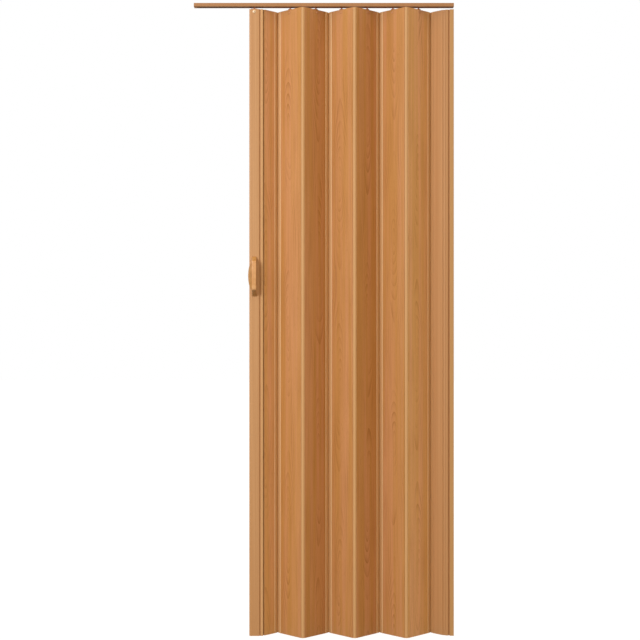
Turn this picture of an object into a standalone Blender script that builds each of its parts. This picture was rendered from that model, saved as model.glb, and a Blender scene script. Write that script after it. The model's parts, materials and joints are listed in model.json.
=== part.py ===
"""Accordion folding door that hangs from a top rail, partly folded.

Front faces -Y, X runs along the rail and Z is up. The origin is the middle of the rail's top face.
The curtain is a zigzag of equal slats. Every slat's middle stays on the rail's line, y = 0.
"""

import math

import bmesh
import bpy
from mathutils import Matrix, Vector

# Clearance between pieces that touch, and the overrun of every cutter
FIT = 0.0003
OVERRUN = 0.002

# Top rail, a channel that opens downwards
RAIL_LENGTH = 0.834
RAIL_DEPTH = 0.026
RAIL_HEIGHT = 0.0122
RAIL_WALL = 0.0015
RAIL_SLOT = 0.009
RAIL_CHAMFER = 0.001
RAIL_HOLE_RADIUS = 0.0022
RAIL_HOLE_COUNT = 4
RAIL_HOLE_INSET = 0.057

# Curtain of hollow slats
SLAT_COUNT = 6
SLAT_WIDTH = 0.093
SLAT_THICKNESS = 0.007
SLAT_WALL = 0.001
SLAT_CHAMFER = 0.0008
SLAT_CHAMBERS = 5
PANEL_CHAMBERS = SLAT_CHAMBERS // 2
CURTAIN_HEIGHT = 2.0102
CURTAIN_DROP = 0.0076
FOLD_ANGLE = math.radians(44.2)

# Fold lines: how far outside a slat's edge, and how far off its middle plane
FOLD_REACH = 0.011
FOLD_OFFSET = 0.0025
END_REACH = 0.004

# Groove along a slat's edge, and the soft strip whose bead it holds
GROOVE_DEPTH = 0.004
GROOVE_WIDTH = 0.0032
GROOVE_LIP = 0.0012
GROOVE_MOUTH = 0.0018
LEAF_THICKNESS = 0.0018
CREASE_THICKNESS = 0.001

# Lead post at the free end, with a web between its two chambers and a tongue for its strip
POST_WIDTH = 0.0367
POST_DEPTH = 0.024
POST_WALL = 0.0018
POST_NOSE_RADIUS = 0.006
POST_WEB_INSET = 0.008
TONGUE_LENGTH = 0.008
TONGUE_THICKNESS = 0.009

# Jamb channel, and the end post that slides into it
JAMB_LENGTH = 0.013
JAMB_DEPTH = 0.018
JAMB_WALL = 0.0015
JAMB_HOLE_RADIUS = 0.0022
JAMB_HOLE_COUNT = 3
JAMB_HOLE_INSET = 0.15
JAMB_SCREW_ROOM = 0.003
END_TONGUE_LENGTH = 0.013
END_POST_WALL = 0.0012

# Hangers, the shoes that carry them along the rail, and the rivets that hold them in the slats
PIN_RADIUS = 0.0025
PIN_HEAD_RADIUS = 0.005
PIN_HEAD_HEIGHT = 0.0018
COLLAR_WIDTH = 0.012
COLLAR_HEIGHT = 0.002
PLUG_HEIGHT = 0.024
SHOE_LENGTH = 0.014
SHOE_SIDE_GAP = 0.0015
SHOE_HEIGHT = 0.0045
RIVET_DROP = 0.009
RIVET_RADIUS = 0.0016
RIVET_BITE = 0.0035
RIVET_HEAD_RADIUS = 0.004
RIVET_HEAD_HEIGHT = 0.0014

# Lead post's hanger and its screw
LEAD_PIN_INSET = 0.0161
LEAD_PIN_RADIUS = 0.003
LEAD_SHOE_LENGTH = 0.03
LEAD_SCREW_DROP = 0.0078
LEAD_SCREW_RADIUS = 0.002
LEAD_SCREW_BITE = 0.014
LEAD_SCREW_HEAD_RADIUS = 0.0055
LEAD_SCREW_HEAD_HEIGHT = 0.0026

# Handles, one on each face of the lead post
HANDLE_MIDDLE = -0.8774
HANDLE_HEIGHT = 0.128
HANDLE_WIDTH = 0.014
HANDLE_INSET = 0.0165
HANDLE_STANDOFF = 0.03
HANDLE_ARCH = 0.003
GRIP_THICKNESS = 0.008
GRIP_FLANK = 0.0135
FLANK_FALL = 0.004
UPPER_SLOPE = 0.015
LOWER_SLOPE = 0.021
FOOT_HEIGHT = 0.012
HANDLE_SCREW_INSET = 0.0082
HANDLE_SCREW_RADIUS = 0.002
HANDLE_SCREW_HEAD_RADIUS = 0.0036
HANDLE_SCREW_HEAD_HEIGHT = 0.002
HANDLE_SCREW_SEAT = 0.0035
HANDLE_SCREW_BITE = 0.006

# Segments of round shapes
ROUND_SIDES = 16
ARC_STEPS = 4
DOME_STEPS = 3
SHARP_ANGLE = math.radians(35)

# Zigzag, worked out from the slat
SLAT_PITCH = SLAT_WIDTH + 2 * FOLD_REACH
PIVOT_PITCH = math.hypot(SLAT_PITCH, 2 * FOLD_OFFSET)
SLAT_TURN = FOLD_ANGLE + math.atan2(2 * FOLD_OFFSET, SLAT_PITCH)
SPACING = PIVOT_PITCH * math.cos(FOLD_ANGLE)
FOLD_DEPTH = PIVOT_PITCH / 2 * math.sin(FOLD_ANGLE)

# Places along the rail, and heights
JAMB_X = RAIL_LENGTH / 2 - JAMB_LENGTH
WALL_HINGE_X = JAMB_X - END_TONGUE_LENGTH - END_REACH
LEAD_HINGE_X = WALL_HINGE_X - (SLAT_COUNT + 1) * SPACING
POST_RIGHT_X = LEAD_HINGE_X - END_REACH
POST_LEFT_X = POST_RIGHT_X - TONGUE_LENGTH - POST_WIDTH
LEAD_PIN_X = POST_LEFT_X + LEAD_PIN_INSET
HANDLE_X = POST_LEFT_X + HANDLE_INSET
CURTAIN_TOP = -RAIL_HEIGHT - CURTAIN_DROP
CURTAIN_FOOT = CURTAIN_TOP - CURTAIN_HEIGHT
SHOE_FOOT = -RAIL_HEIGHT + RAIL_WALL + FIT
SHOE_TOP = SHOE_FOOT + SHOE_HEIGHT

# Colours in linear light
WOOD_PRINT = (0.58, 0.27, 0.105, 1)
PLAIN_TAN = (0.62, 0.33, 0.15, 1)
LIGHT_STRIP = (0.66, 0.38, 0.18, 1)
RAIL_BROWN = (0.48, 0.25, 0.13, 1)
HANGER_BROWN = (0.42, 0.16, 0.06, 1)
SCREW_TAN = (0.86, 0.62, 0.36, 1)
STEEL = (0.6, 0.6, 0.62, 1)


def material(name, colour, roughness, metallic=0.0):
    made = bpy.data.materials.new(name)
    made.use_nodes = True
    shader = made.node_tree.nodes["Principled BSDF"]
    shader.inputs["Base Color"].default_value = colour
    shader.inputs["Roughness"].default_value = roughness
    shader.inputs["Metallic"].default_value = metallic
    return made


def collection(name):
    made = bpy.data.collections.new(name)
    bpy.context.scene.collection.children.link(made)
    return made


def piece(name, mesh, finish, place=(0, 0, 0), turn=0.0):
    """A visible object. Its mesh may be shared with its copies."""
    made = bpy.data.objects.new(name, mesh)
    if not mesh.materials:
        mesh.materials.append(finish)
    mesh.shade_smooth()
    mesh.set_sharp_from_angle(angle=SHARP_ANGLE)
    made.location = place
    made.rotation_euler.z = turn
    door.objects.link(made)
    return made


def helper(mesh):
    """A cutter or a shape to join: hidden, and left out of the build."""
    made = bpy.data.objects.new(mesh.name, mesh)
    made.hide_render = True
    made.display_type = "WIRE"
    cutters.objects.link(made)
    return made


def boolean(obj, mesh, operation="DIFFERENCE"):
    modifier = obj.modifiers.new(mesh.name, "BOOLEAN")
    modifier.operation = operation
    modifier.object = helper(mesh)


def tidy(mesh):
    """Merges doubles and turns the faces outwards."""
    work = bmesh.new()
    work.from_mesh(mesh)
    bmesh.ops.remove_doubles(work, verts=work.verts, dist=FIT / 100)
    bmesh.ops.recalc_face_normals(work, faces=work.faces)
    work.to_mesh(mesh)
    work.free()
    return mesh


def finished(obj):
    """The object's evaluated mesh, tidied. The object goes."""
    bpy.context.view_layer.update()
    graph = bpy.context.evaluated_depsgraph_get()
    mesh = bpy.data.meshes.new_from_object(obj.evaluated_get(graph))
    mesh.name = obj.name
    bpy.data.objects.remove(obj, do_unlink=True)
    return tidy(mesh)


def prism(name, outline, bottom, top, holes=()):
    """A flat outline with holes, raised along Z."""
    curve = bpy.data.curves.new(name, "CURVE")
    curve.dimensions = "2D"
    curve.fill_mode = "BOTH"
    curve.extrude = (top - bottom) / 2
    for points in [outline, *holes]:
        spline = curve.splines.new("POLY")
        spline.points.add(len(points) - 1)
        for point, (x, y) in zip(spline.points, points):
            point.co = (x, y, 0, 1)
        spline.use_cyclic_u = True
    raised = bpy.data.objects.new(name, curve)
    cutters.objects.link(raised)
    mesh = finished(raised)
    mesh.transform(Matrix.Translation((0, 0, (top + bottom) / 2)))
    return mesh


def turned(name, profile):
    """A profile of (radius, height) points, from top to bottom, spun about Z."""
    mesh = bpy.data.meshes.new(name)
    edges = [(index, index + 1) for index in range(len(profile) - 1)]
    mesh.from_pydata([(radius, 0, height) for radius, height in profile], edges, [])
    spun = bpy.data.objects.new(name, mesh)
    cutters.objects.link(spun)
    screw = spun.modifiers.new("spin", "SCREW")
    screw.steps = ROUND_SIDES
    screw.render_steps = ROUND_SIDES
    screw.use_merge_vertices = True
    screw.merge_threshold = FIT / 10
    return finished(spun)


def rod(name, radius, bottom, top):
    return turned(name, [(0, top), (radius, top), (radius, bottom), (0, bottom)])


def box(name, low, high):
    """A box between two corners."""
    low, high = Vector(low), Vector(high)
    work = bmesh.new()
    size = Matrix.Diagonal((*(high - low), 1))
    bmesh.ops.create_cube(work, size=1, matrix=Matrix.Translation((low + high) / 2) @ size)
    mesh = bpy.data.meshes.new(name)
    work.to_mesh(mesh)
    work.free()
    return mesh


def moved(mesh, *matrices):
    """The mesh under the matrices, of which the last acts first."""
    together = Matrix()
    for matrix in matrices:
        together = together @ matrix
    mesh.transform(together)
    return tidy(mesh)


def shift(x=0, y=0, z=0):
    return Matrix.Translation((x, y, z))


def both_faces(front):
    """A closed outline from its front half, which runs from left to right at y <= 0."""
    return front + [(x, -y) for x, y in reversed(front)]


def groove_half(edge, side, thickness):
    """Front half of a grooved edge, from the front face in to the groove's floor."""
    lip = edge - side * GROOVE_LIP
    floor = edge - side * GROOVE_DEPTH
    return [
        (edge - side * SLAT_CHAMFER, -thickness / 2),
        (edge, -thickness / 2 + SLAT_CHAMFER),
        (edge, -GROOVE_MOUTH / 2),
        (lip, -GROOVE_MOUTH / 2),
        (lip, -GROOVE_WIDTH / 2),
        (floor, -GROOVE_WIDTH / 2),
    ]


def rectangle(left, right, depth):
    return [(left, -depth / 2), (right, -depth / 2), (right, depth / 2), (left, depth / 2)]


def circle(radius, x=0.0, y=0.0):
    turns = [2 * math.pi * step / ROUND_SIDES for step in range(ROUND_SIDES)]
    return [(x + radius * math.cos(turn), y + radius * math.sin(turn)) for turn in turns]


def chamber_outlines(left, right, count):
    """Equal chambers with a wall between each two, in a slat whose grooves lie outside left and right."""
    width = (right - left - (count - 1) * SLAT_WALL) / count
    depth = SLAT_THICKNESS - 2 * SLAT_WALL
    starts = [left + index * (width + SLAT_WALL) for index in range(count)]
    return [rectangle(start, start + width, depth) for start in starts]


def slat_mesh(name, left, right, count):
    """A hollow slat between two grooved edges. Its middle plane is y = 0."""
    edge = GROOVE_DEPTH + SLAT_WALL
    front = groove_half(left, -1, SLAT_THICKNESS)[::-1] + groove_half(right, 1, SLAT_THICKNESS)
    holes = chamber_outlines(left + edge, right - edge, count)
    return prism(name, both_faces(front), CURTAIN_FOOT, CURTAIN_TOP, holes)


def dome(radius, height):
    """Profile of a low dome, from its top to its rim."""
    angles = [math.pi / 2 * step / DOME_STEPS for step in range(DOME_STEPS + 1)]
    return [(radius * math.sin(angle), height * math.cos(angle)) for angle in angles]


def screw_mesh(name, radius, bite, head_radius, head_height):
    """A domed head at z = 0 and a shank down from it."""
    shank = [(radius, 0), (radius, -bite), (0, -bite)]
    return turned(name, dome(head_radius, head_height) + shank)


def make_rail(finish):
    side = RAIL_DEPTH / 2
    inner = side - RAIL_WALL
    slot = RAIL_SLOT / 2
    floor = -RAIL_HEIGHT + RAIL_WALL
    right = [
        (slot, floor),
        (slot, -RAIL_HEIGHT),
        (side - RAIL_CHAMFER, -RAIL_HEIGHT),
        (side, -RAIL_HEIGHT + RAIL_CHAMFER),
        (side, -RAIL_CHAMFER),
        (side - RAIL_CHAMFER, 0),
    ]
    ceiling = [(inner, -RAIL_WALL), (inner, floor)]
    outline = ceiling + right + [(-y, z) for y, z in reversed(ceiling + right)]
    mesh = prism("top_rail", outline, -RAIL_LENGTH / 2, RAIL_LENGTH / 2)
    # The outline is drawn in Y and Z, so the prism's own Z becomes X
    along_x = Matrix(((0, 0, 1, 0), (1, 0, 0, 0), (0, 1, 0, 0), (0, 0, 0, 1)))
    rail = piece("top_rail", moved(mesh, along_x), finish)
    reach = RAIL_LENGTH / 2 - RAIL_HOLE_INSET
    for index in range(RAIL_HOLE_COUNT):
        x = reach * (2 * index / (RAIL_HOLE_COUNT - 1) - 1)
        drill = rod(f"rail_hole_{index + 1}", RAIL_HOLE_RADIUS, -RAIL_WALL - OVERRUN, OVERRUN)
        boolean(rail, moved(drill, shift(x)))


def make_slats(finish, rivet_finish):
    """Six equal slats, each with the rivet that holds its hanger."""
    half = SLAT_WIDTH / 2
    plain = helper(slat_mesh("slat", -half, half, SLAT_CHAMBERS))
    drill = rod("rivet_hole", RIVET_RADIUS + FIT, -SLAT_WALL - OVERRUN, OVERRUN)
    boolean(plain, moved(drill, rivet_place()))
    mesh = finished(plain)
    rivet = screw_mesh("rivet", RIVET_RADIUS, RIVET_BITE, RIVET_HEAD_RADIUS, RIVET_HEAD_HEIGHT)
    moved(rivet, rivet_place(FIT))
    for number in range(1, SLAT_COUNT + 1):
        place, turn = slat_place(number)
        piece(f"slat_{number}", mesh, finish, place, turn)
        piece(f"hanger_rivet_{number}", rivet, rivet_finish, place, turn)


def slat_place(number):
    """Place and turn of a slat, counted from the lead panel's virtual slat, which is 0."""
    turn = -SLAT_TURN if number % 2 else SLAT_TURN
    return (LEAD_HINGE_X + number * SPACING, 0, 0), turn


def rivet_place(gap=0.0):
    """Puts a screw's head on a slat's front face and its shank through it."""
    forward = Matrix.Rotation(math.pi / 2, 4, "X")
    return shift(y=-SLAT_THICKNESS / 2 - gap, z=CURTAIN_TOP - RIVET_DROP) @ forward


def make_panels(finish, plain_finish):
    """The half slats at the two ends of the curtain."""
    half = SLAT_WIDTH / 2
    lead = slat_mesh("lead_panel", END_REACH, half, PANEL_CHAMBERS)
    piece("lead_panel", lead, finish, *slat_place(0))
    wall = slat_mesh("wall_panel", -half, -END_REACH, PANEL_CHAMBERS)
    piece("wall_panel", wall, plain_finish, *slat_place(SLAT_COUNT + 1))


def strip_half(side, turn, reach, offset):
    """Front and back outline of one half of a soft strip, from its bead to the crease at (0, 0)."""
    bead = GROOVE_WIDTH / 2 - FIT
    neck = GROOVE_MOUTH / 2 - FIT
    leaf = LEAF_THICKNESS / 2
    floor = -GROOVE_DEPTH + FIT
    lip = -GROOVE_LIP - FIT
    local = [(floor, bead), (lip, bead), (lip, neck), (FIT, neck), (FIT, leaf)]
    rotation = Matrix.Rotation(turn, 2)
    front = [rotation @ Vector((side * (out - reach), -y - offset)) for out, y in local]
    back = [rotation @ Vector((side * (out - reach), y - offset)) for out, y in local]
    return front, back


def strip_mesh(name, left_turn, right_turn, left_reach, right_reach, offset):
    """A soft strip, with its crease on the fold line and a bead in the groove on each side.

    offset is the fold line's place across the slats that it joins.
    """
    left_front, left_back = strip_half(1, left_turn, left_reach, offset)
    right_front, right_back = strip_half(-1, right_turn, right_reach, offset)
    middle = (left_turn + right_turn) / 2
    mitre = CREASE_THICKNESS / 2 / math.cos((left_turn - right_turn) / 2)
    crease = Matrix.Rotation(middle, 2) @ Vector((0, mitre))
    front = left_front + [-crease] + right_front[::-1]
    back = right_back + [crease] + left_back[::-1]
    return prism(name, [tuple(point) for point in front + back], CURTAIN_FOOT, CURTAIN_TOP)


def make_strips(finish):
    """Nine soft strips, numbered from the lead post to the jamb."""
    lead = strip_mesh("lead_strip", 0, SLAT_TURN, END_REACH, END_REACH, 0)
    piece("hinge_strip_1", lead, finish, (LEAD_HINGE_X, 0, 0))
    valley = strip_mesh("fold_strip", SLAT_TURN, -SLAT_TURN, FOLD_REACH, FOLD_REACH, -FOLD_OFFSET)
    for number in range(SLAT_COUNT + 1):
        is_peak = number % 2
        x = LEAD_HINGE_X + (number + 1 / 2) * SPACING
        place = (x, -FOLD_DEPTH if is_peak else FOLD_DEPTH, 0)
        piece(f"hinge_strip_{number + 2}", valley, finish, place, math.pi if is_peak else 0)
    wall = strip_mesh("wall_strip", -SLAT_TURN, 0, END_REACH, END_REACH, 0)
    piece(f"hinge_strip_{SLAT_COUNT + 3}", wall, finish, (WALL_HINGE_X, 0, 0))


def make_lead_post(finish):
    """The hollow post at the free end. Its tongue holds the first strip."""
    side = POST_DEPTH / 2
    radius = POST_NOSE_RADIUS
    shoulder = POST_RIGHT_X - TONGUE_LENGTH
    angles = [math.pi / 2 * step / ARC_STEPS for step in range(ARC_STEPS + 1)]
    nose = [
        (POST_LEFT_X + radius - radius * math.cos(angle), radius - side - radius * math.sin(angle))
        for angle in angles
    ]
    face = [
        (shoulder - SLAT_CHAMFER, -side),
        (shoulder, SLAT_CHAMFER - side),
        (shoulder, -TONGUE_THICKNESS / 2),
    ]
    front = nose + face + groove_half(POST_RIGHT_X, 1, TONGUE_THICKNESS)
    inner = POST_DEPTH - 2 * POST_WALL
    corner = radius - POST_WALL
    left = POST_LEFT_X + POST_WALL
    inner_nose = [
        (left + corner - corner * math.cos(angle), corner - inner / 2 - corner * math.sin(angle))
        for angle in angles
    ]
    web = shoulder - POST_WEB_INSET
    main = both_faces(inner_nose + [(web - POST_WALL / 2, -inner / 2)])
    second = rectangle(web + POST_WALL / 2, shoulder - POST_WALL, inner - POST_WALL)
    mesh = prism("lead_post", both_faces(front), CURTAIN_FOOT, CURTAIN_TOP, [main, second])
    post = piece("lead_post", mesh, finish)
    drill = rod("lead_screw_hole", LEAD_SCREW_RADIUS + FIT, -POST_WALL - OVERRUN, OVERRUN)
    boolean(post, moved(drill, lead_screw_place()))
    for name, z in handle_screw_heights().items():
        through = rod(f"post_{name}_hole", HANDLE_SCREW_RADIUS + FIT, -POST_DEPTH, POST_DEPTH)
        boolean(post, moved(through, shift(HANDLE_X, 0, z), Matrix.Rotation(math.pi / 2, 4, "X")))


def lead_screw_place(gap=0.0):
    """Puts a screw's head on the lead post's front face and its shank through it."""
    forward = Matrix.Rotation(math.pi / 2, 4, "X")
    return shift(LEAD_PIN_X, -POST_DEPTH / 2 - gap, CURTAIN_TOP - LEAD_SCREW_DROP) @ forward


def handle_screw_heights():
    reach = HANDLE_HEIGHT / 2 - HANDLE_SCREW_INSET
    return {"upper": HANDLE_MIDDLE + reach, "lower": HANDLE_MIDDLE - reach}


def make_jamb(finish):
    """The channel on the jamb, and the end post that it holds."""
    side = JAMB_DEPTH / 2
    right = RAIL_LENGTH / 2
    web = right - JAMB_WALL
    inner = side - JAMB_WALL
    channel = [(web, -inner), (JAMB_X, -inner), (JAMB_X, -side), (right, -side)]
    mesh = prism("jamb_channel", both_faces(channel), CURTAIN_FOOT, CURTAIN_TOP)
    jamb = piece("jamb_channel", mesh, finish)
    for index in range(JAMB_HOLE_COUNT):
        share = index / (JAMB_HOLE_COUNT - 1)
        top = CURTAIN_TOP - JAMB_HOLE_INSET
        z = top + share * (CURTAIN_FOOT + JAMB_HOLE_INSET - top)
        drill = rod(f"jamb_hole_{index + 1}", JAMB_HOLE_RADIUS, -JAMB_WALL - OVERRUN, OVERRUN)
        boolean(jamb, moved(drill, shift(right, 0, z), Matrix.Rotation(math.pi / 2, 4, "Y")))
    left = WALL_HINGE_X + END_REACH
    far = web - JAMB_SCREW_ROOM
    body = inner - FIT
    front = groove_half(left, -1, TONGUE_THICKNESS)[::-1]
    front += [(JAMB_X, -TONGUE_THICKNESS / 2), (JAMB_X, -body), (far, -body)]
    depth = 2 * (body - END_POST_WALL)
    hollow = rectangle(JAMB_X + END_POST_WALL, far - END_POST_WALL, depth)
    mesh = prism("end_post", both_faces(front), CURTAIN_FOOT, CURTAIN_TOP, [hollow])
    piece("end_post", mesh, finish)


def hanger_mesh(name, plug_low, plug_high, collar_low, collar_high, radius, pin_place):
    """A plug with a collar above it and a headed pin that stands on the collar."""
    collar_foot = CURTAIN_TOP + FIT
    collar_top = collar_foot + COLLAR_HEIGHT
    plug = helper(box(name, (*plug_low, CURTAIN_TOP - PLUG_HEIGHT), (*plug_high, collar_top - FIT)))
    boolean(plug, box(f"{name}_collar", (*collar_low, collar_foot), (*collar_high, collar_top)), "UNION")
    head_foot = SHOE_TOP + FIT
    head_top = head_foot + PIN_HEAD_HEIGHT
    head = radius + PIN_HEAD_RADIUS - PIN_RADIUS
    profile = [(0, head_top), (head, head_top), (head, head_foot), (radius, head_foot)]
    profile += [(radius, collar_foot), (0, collar_foot)]
    boolean(plug, moved(turned(f"{name}_pin", profile), shift(*pin_place)), "UNION")
    return plug


def shoe_mesh(name, length, pin_radius, pin_place=(0, 0)):
    """A sliding block that lies on the rail's two flanges, with a hole for the pin."""
    depth = RAIL_DEPTH - 2 * (RAIL_WALL + SHOE_SIDE_GAP)
    x = pin_place[0]
    outline = rectangle(x - length / 2, x + length / 2, depth)
    return prism(name, outline, SHOE_FOOT, SHOE_TOP, [circle(pin_radius + FIT, *pin_place)])


def make_hangers(finish, shoe_finish):
    """A plug with its pin in each slat, and a shoe that stays in line with the rail."""
    half = SLAT_WIDTH / 2 - GROOVE_DEPTH - SLAT_WALL
    chamber = chamber_outlines(-half, half, SLAT_CHAMBERS)[SLAT_CHAMBERS // 2]
    (left, low), (right, high) = chamber[0], chamber[2]
    collar = (COLLAR_WIDTH / 2, SLAT_THICKNESS / 2)
    plug = hanger_mesh(
        "hanger", (left + FIT, low + FIT), (right - FIT, high - FIT),
        (-collar[0], -collar[1]), collar, PIN_RADIUS, (0, 0),
    )
    boolean(plug, moved(rod("hanger_rivet_hole", RIVET_RADIUS + FIT, -RIVET_BITE - FIT, 0), rivet_place()))
    hanger = finished(plug)
    shoe = shoe_mesh("glider", SHOE_LENGTH, PIN_RADIUS)
    for number in range(1, SLAT_COUNT + 1):
        place, turn = slat_place(number)
        piece(f"hanger_{number}", hanger, finish, place, turn)
        piece(f"glider_{number}", shoe, shoe_finish, place)


def make_lead_hanger(finish, shoe_finish, screw_finish):
    """The lead post's plug with its pin, its longer shoe and the domed screw that holds the plug."""
    inner = POST_DEPTH / 2 - POST_WALL - FIT
    reach = LEAD_PIN_INSET - POST_NOSE_RADIUS
    low, high = (LEAD_PIN_X - reach, -inner), (LEAD_PIN_X + reach, inner)
    collar_low = (LEAD_PIN_X - COLLAR_WIDTH / 2, -COLLAR_WIDTH / 2)
    collar_high = (LEAD_PIN_X + COLLAR_WIDTH / 2, COLLAR_WIDTH / 2)
    plug = hanger_mesh("lead_hanger", low, high, collar_low, collar_high, LEAD_PIN_RADIUS, (LEAD_PIN_X, 0))
    bite = rod("lead_hanger_screw_hole", LEAD_SCREW_RADIUS + FIT, -LEAD_SCREW_BITE - FIT, 0)
    boolean(plug, moved(bite, lead_screw_place()))
    piece("lead_hanger", finished(plug), finish)
    shoe = shoe_mesh("lead_glider", LEAD_SHOE_LENGTH, LEAD_PIN_RADIUS, (LEAD_PIN_X, 0))
    piece("lead_glider", shoe, shoe_finish)
    screw = screw_mesh(
        "lead_hanger_screw", LEAD_SCREW_RADIUS, LEAD_SCREW_BITE, LEAD_SCREW_HEAD_RADIUS, LEAD_SCREW_HEAD_HEIGHT
    )
    piece("lead_hanger_screw", moved(screw, lead_screw_place(FIT)), screw_finish)


def grip_arch(start, end, base):
    """The grip's slight arch between two heights, as (standoff, height) points."""
    steps = 2 * ARC_STEPS
    shares = [step / steps for step in range(steps + 1)]
    return [(base + HANDLE_ARCH * math.sin(math.pi * share), start + share * (end - start)) for share in shares]


def bow_outline():
    """Side view of a handle as (standoff, height) points: the outside from top to bottom, then the gap."""
    top, bottom = HANDLE_HEIGHT / 2, -HANDLE_HEIGHT / 2
    shoulder = HANDLE_STANDOFF - HANDLE_ARCH
    inner_high = top - FOOT_HEIGHT - UPPER_SLOPE / 2
    inner_low = bottom + FOOT_HEIGHT + LOWER_SLOPE / 2
    outside = [(0, top), *grip_arch(top - UPPER_SLOPE, bottom + LOWER_SLOPE, shoulder), (0, bottom)]
    gap = [
        (0, bottom + FOOT_HEIGHT),
        *grip_arch(inner_low, inner_high, shoulder - GRIP_THICKNESS),
        (0, top - FOOT_HEIGHT),
    ]
    return outside + gap


def handle_object(name):
    """A bow handle, drawn with its standoff along +Z and its height along +Y.

    Its grip has a flank, set back from its face, that bulges past the post's edge.
    """
    ridge = -HANDLE_WIDTH / 2
    edge = ridge - GRIP_FLANK
    # Side views are drawn as (standoff, height) and raised along the handle's width
    to_frame = Matrix(((0, 0, 1, 0), (0, 1, 0, 0), (1, 0, 0, 0), (0, 0, 0, 1)))
    handle = helper(moved(prism(name, bow_outline(), edge, HANDLE_WIDTH / 2), to_frame))
    high = HANDLE_HEIGHT / 2 - UPPER_SLOPE
    low = LOWER_SLOPE - HANDLE_HEIGHT / 2
    flank_face = grip_arch(high, low, HANDLE_STANDOFF - HANDLE_ARCH - FLANK_FALL)
    front = HANDLE_STANDOFF + OVERRUN
    step_side = [(front, high), *flank_face, (front, low)]
    boolean(handle, moved(prism(f"{name}_step", step_side, edge - OVERRUN, ridge), to_frame))
    middle, reach = (high + low) / 2, (high - low) / 2
    turns = [math.pi * (step / (4 * ARC_STEPS) - 1 / 2) for step in range(4 * ARC_STEPS + 1)]
    bulge = [(ridge - GRIP_FLANK * math.cos(turn), middle + reach * math.sin(turn)) for turn in turns]
    outer = edge - OVERRUN
    beyond = HANDLE_HEIGHT / 2 + OVERRUN
    side = [(outer, -beyond), (ridge, -beyond), *bulge, (ridge, beyond), (outer, beyond)]
    boolean(handle, prism(f"{name}_bulge", side, -OVERRUN, HANDLE_STANDOFF + OVERRUN))
    return handle


def make_handles(finish, screw_finish):
    """A handle on each face of the lead post, held by two screws that pass through the post."""
    start = POST_DEPTH / 2 + FIT
    upright = Matrix.Rotation(math.pi / 2, 4, "X")
    heights = handle_screw_heights()
    for name, side in (("front_handle", 1), ("rear_handle", -1)):
        handle = handle_object(name)
        for label, z in heights.items():
            y = z - HANDLE_MIDDLE
            if side == 1:
                drill = rod(f"{name}_{label}", HANDLE_SCREW_RADIUS + FIT, -OVERRUN, HANDLE_SCREW_BITE + FIT)
            else:
                seat = HANDLE_SCREW_SEAT
                shaft = HANDLE_SCREW_RADIUS + FIT
                head = HANDLE_SCREW_HEAD_RADIUS + FIT
                profile = [(0, HANDLE_STANDOFF), (head, HANDLE_STANDOFF), (head, seat)]
                profile += [(shaft, seat), (shaft, -OVERRUN), (0, -OVERRUN)]
                drill = turned(f"{name}_{label}", profile)
            boolean(handle, moved(drill, shift(0, y, 0)))
        facing = Matrix.Diagonal((1, side, 1, 1))
        mesh = moved(finished(handle), facing, shift(HANDLE_X, -start, HANDLE_MIDDLE), upright)
        piece(name, mesh, finish)
    bite = HANDLE_SCREW_SEAT + POST_DEPTH + 2 * FIT + HANDLE_SCREW_BITE
    back = start + HANDLE_SCREW_SEAT + FIT
    for label, z in heights.items():
        screw = screw_mesh(
            f"handle_screw_{label}", HANDLE_SCREW_RADIUS, bite, HANDLE_SCREW_HEAD_RADIUS, HANDLE_SCREW_HEAD_HEIGHT
        )
        rearward = Matrix.Rotation(-math.pi / 2, 4, "X")
        piece(f"handle_screw_{label}", moved(screw, shift(HANDLE_X, back, z), rearward), screw_finish)


for old in list(bpy.data.objects):
    bpy.data.objects.remove(old, do_unlink=True)
door = collection("folding_door")
cutters = collection("cutters")
wood = material("wood print PVC", WOOD_PRINT, 0.42)
tan = material("plain tan PVC", PLAIN_TAN, 0.4)
soft = material("soft PVC", LIGHT_STRIP, 0.5)
brown = material("moulded brown plastic", HANGER_BROWN, 0.45)
make_rail(material("rail PVC", RAIL_BROWN, 0.45))
make_slats(wood, brown)
make_panels(wood, tan)
make_strips(soft)
make_lead_post(tan)
make_jamb(tan)
make_hangers(brown, brown)
make_lead_hanger(brown, brown, material("lacquered screw", SCREW_TAN, 0.3))
make_handles(tan, material("zinc plated steel", STEEL, 0.35, 1.0))
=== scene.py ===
"""Looks of the accordion folding door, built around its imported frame.

Metres, +Z up. The front faces -Y and the rail runs along X, as in the frame.
"""

import json
import math

import bmesh
import bpy
from mathutils import Matrix, Vector


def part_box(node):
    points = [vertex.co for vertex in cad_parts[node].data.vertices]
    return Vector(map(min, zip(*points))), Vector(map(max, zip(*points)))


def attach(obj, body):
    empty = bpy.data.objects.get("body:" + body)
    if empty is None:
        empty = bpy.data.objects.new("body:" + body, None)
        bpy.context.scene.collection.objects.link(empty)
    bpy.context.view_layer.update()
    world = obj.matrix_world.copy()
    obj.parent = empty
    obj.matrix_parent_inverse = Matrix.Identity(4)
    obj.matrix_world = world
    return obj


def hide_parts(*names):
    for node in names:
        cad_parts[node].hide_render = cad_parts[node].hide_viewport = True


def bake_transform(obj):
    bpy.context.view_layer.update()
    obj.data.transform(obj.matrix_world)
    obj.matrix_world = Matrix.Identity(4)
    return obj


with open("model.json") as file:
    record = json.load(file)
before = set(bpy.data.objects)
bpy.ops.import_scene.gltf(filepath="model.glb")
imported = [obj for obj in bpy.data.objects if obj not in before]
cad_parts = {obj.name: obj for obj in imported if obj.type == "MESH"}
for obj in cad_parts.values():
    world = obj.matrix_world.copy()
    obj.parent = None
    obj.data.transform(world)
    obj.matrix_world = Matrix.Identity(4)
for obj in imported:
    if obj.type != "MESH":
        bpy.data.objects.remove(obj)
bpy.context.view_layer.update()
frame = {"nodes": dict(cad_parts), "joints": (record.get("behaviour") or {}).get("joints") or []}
hinge_places = {joint["name"]: Vector(joint["pos_m"]) for joint in frame["joints"]}


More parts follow.
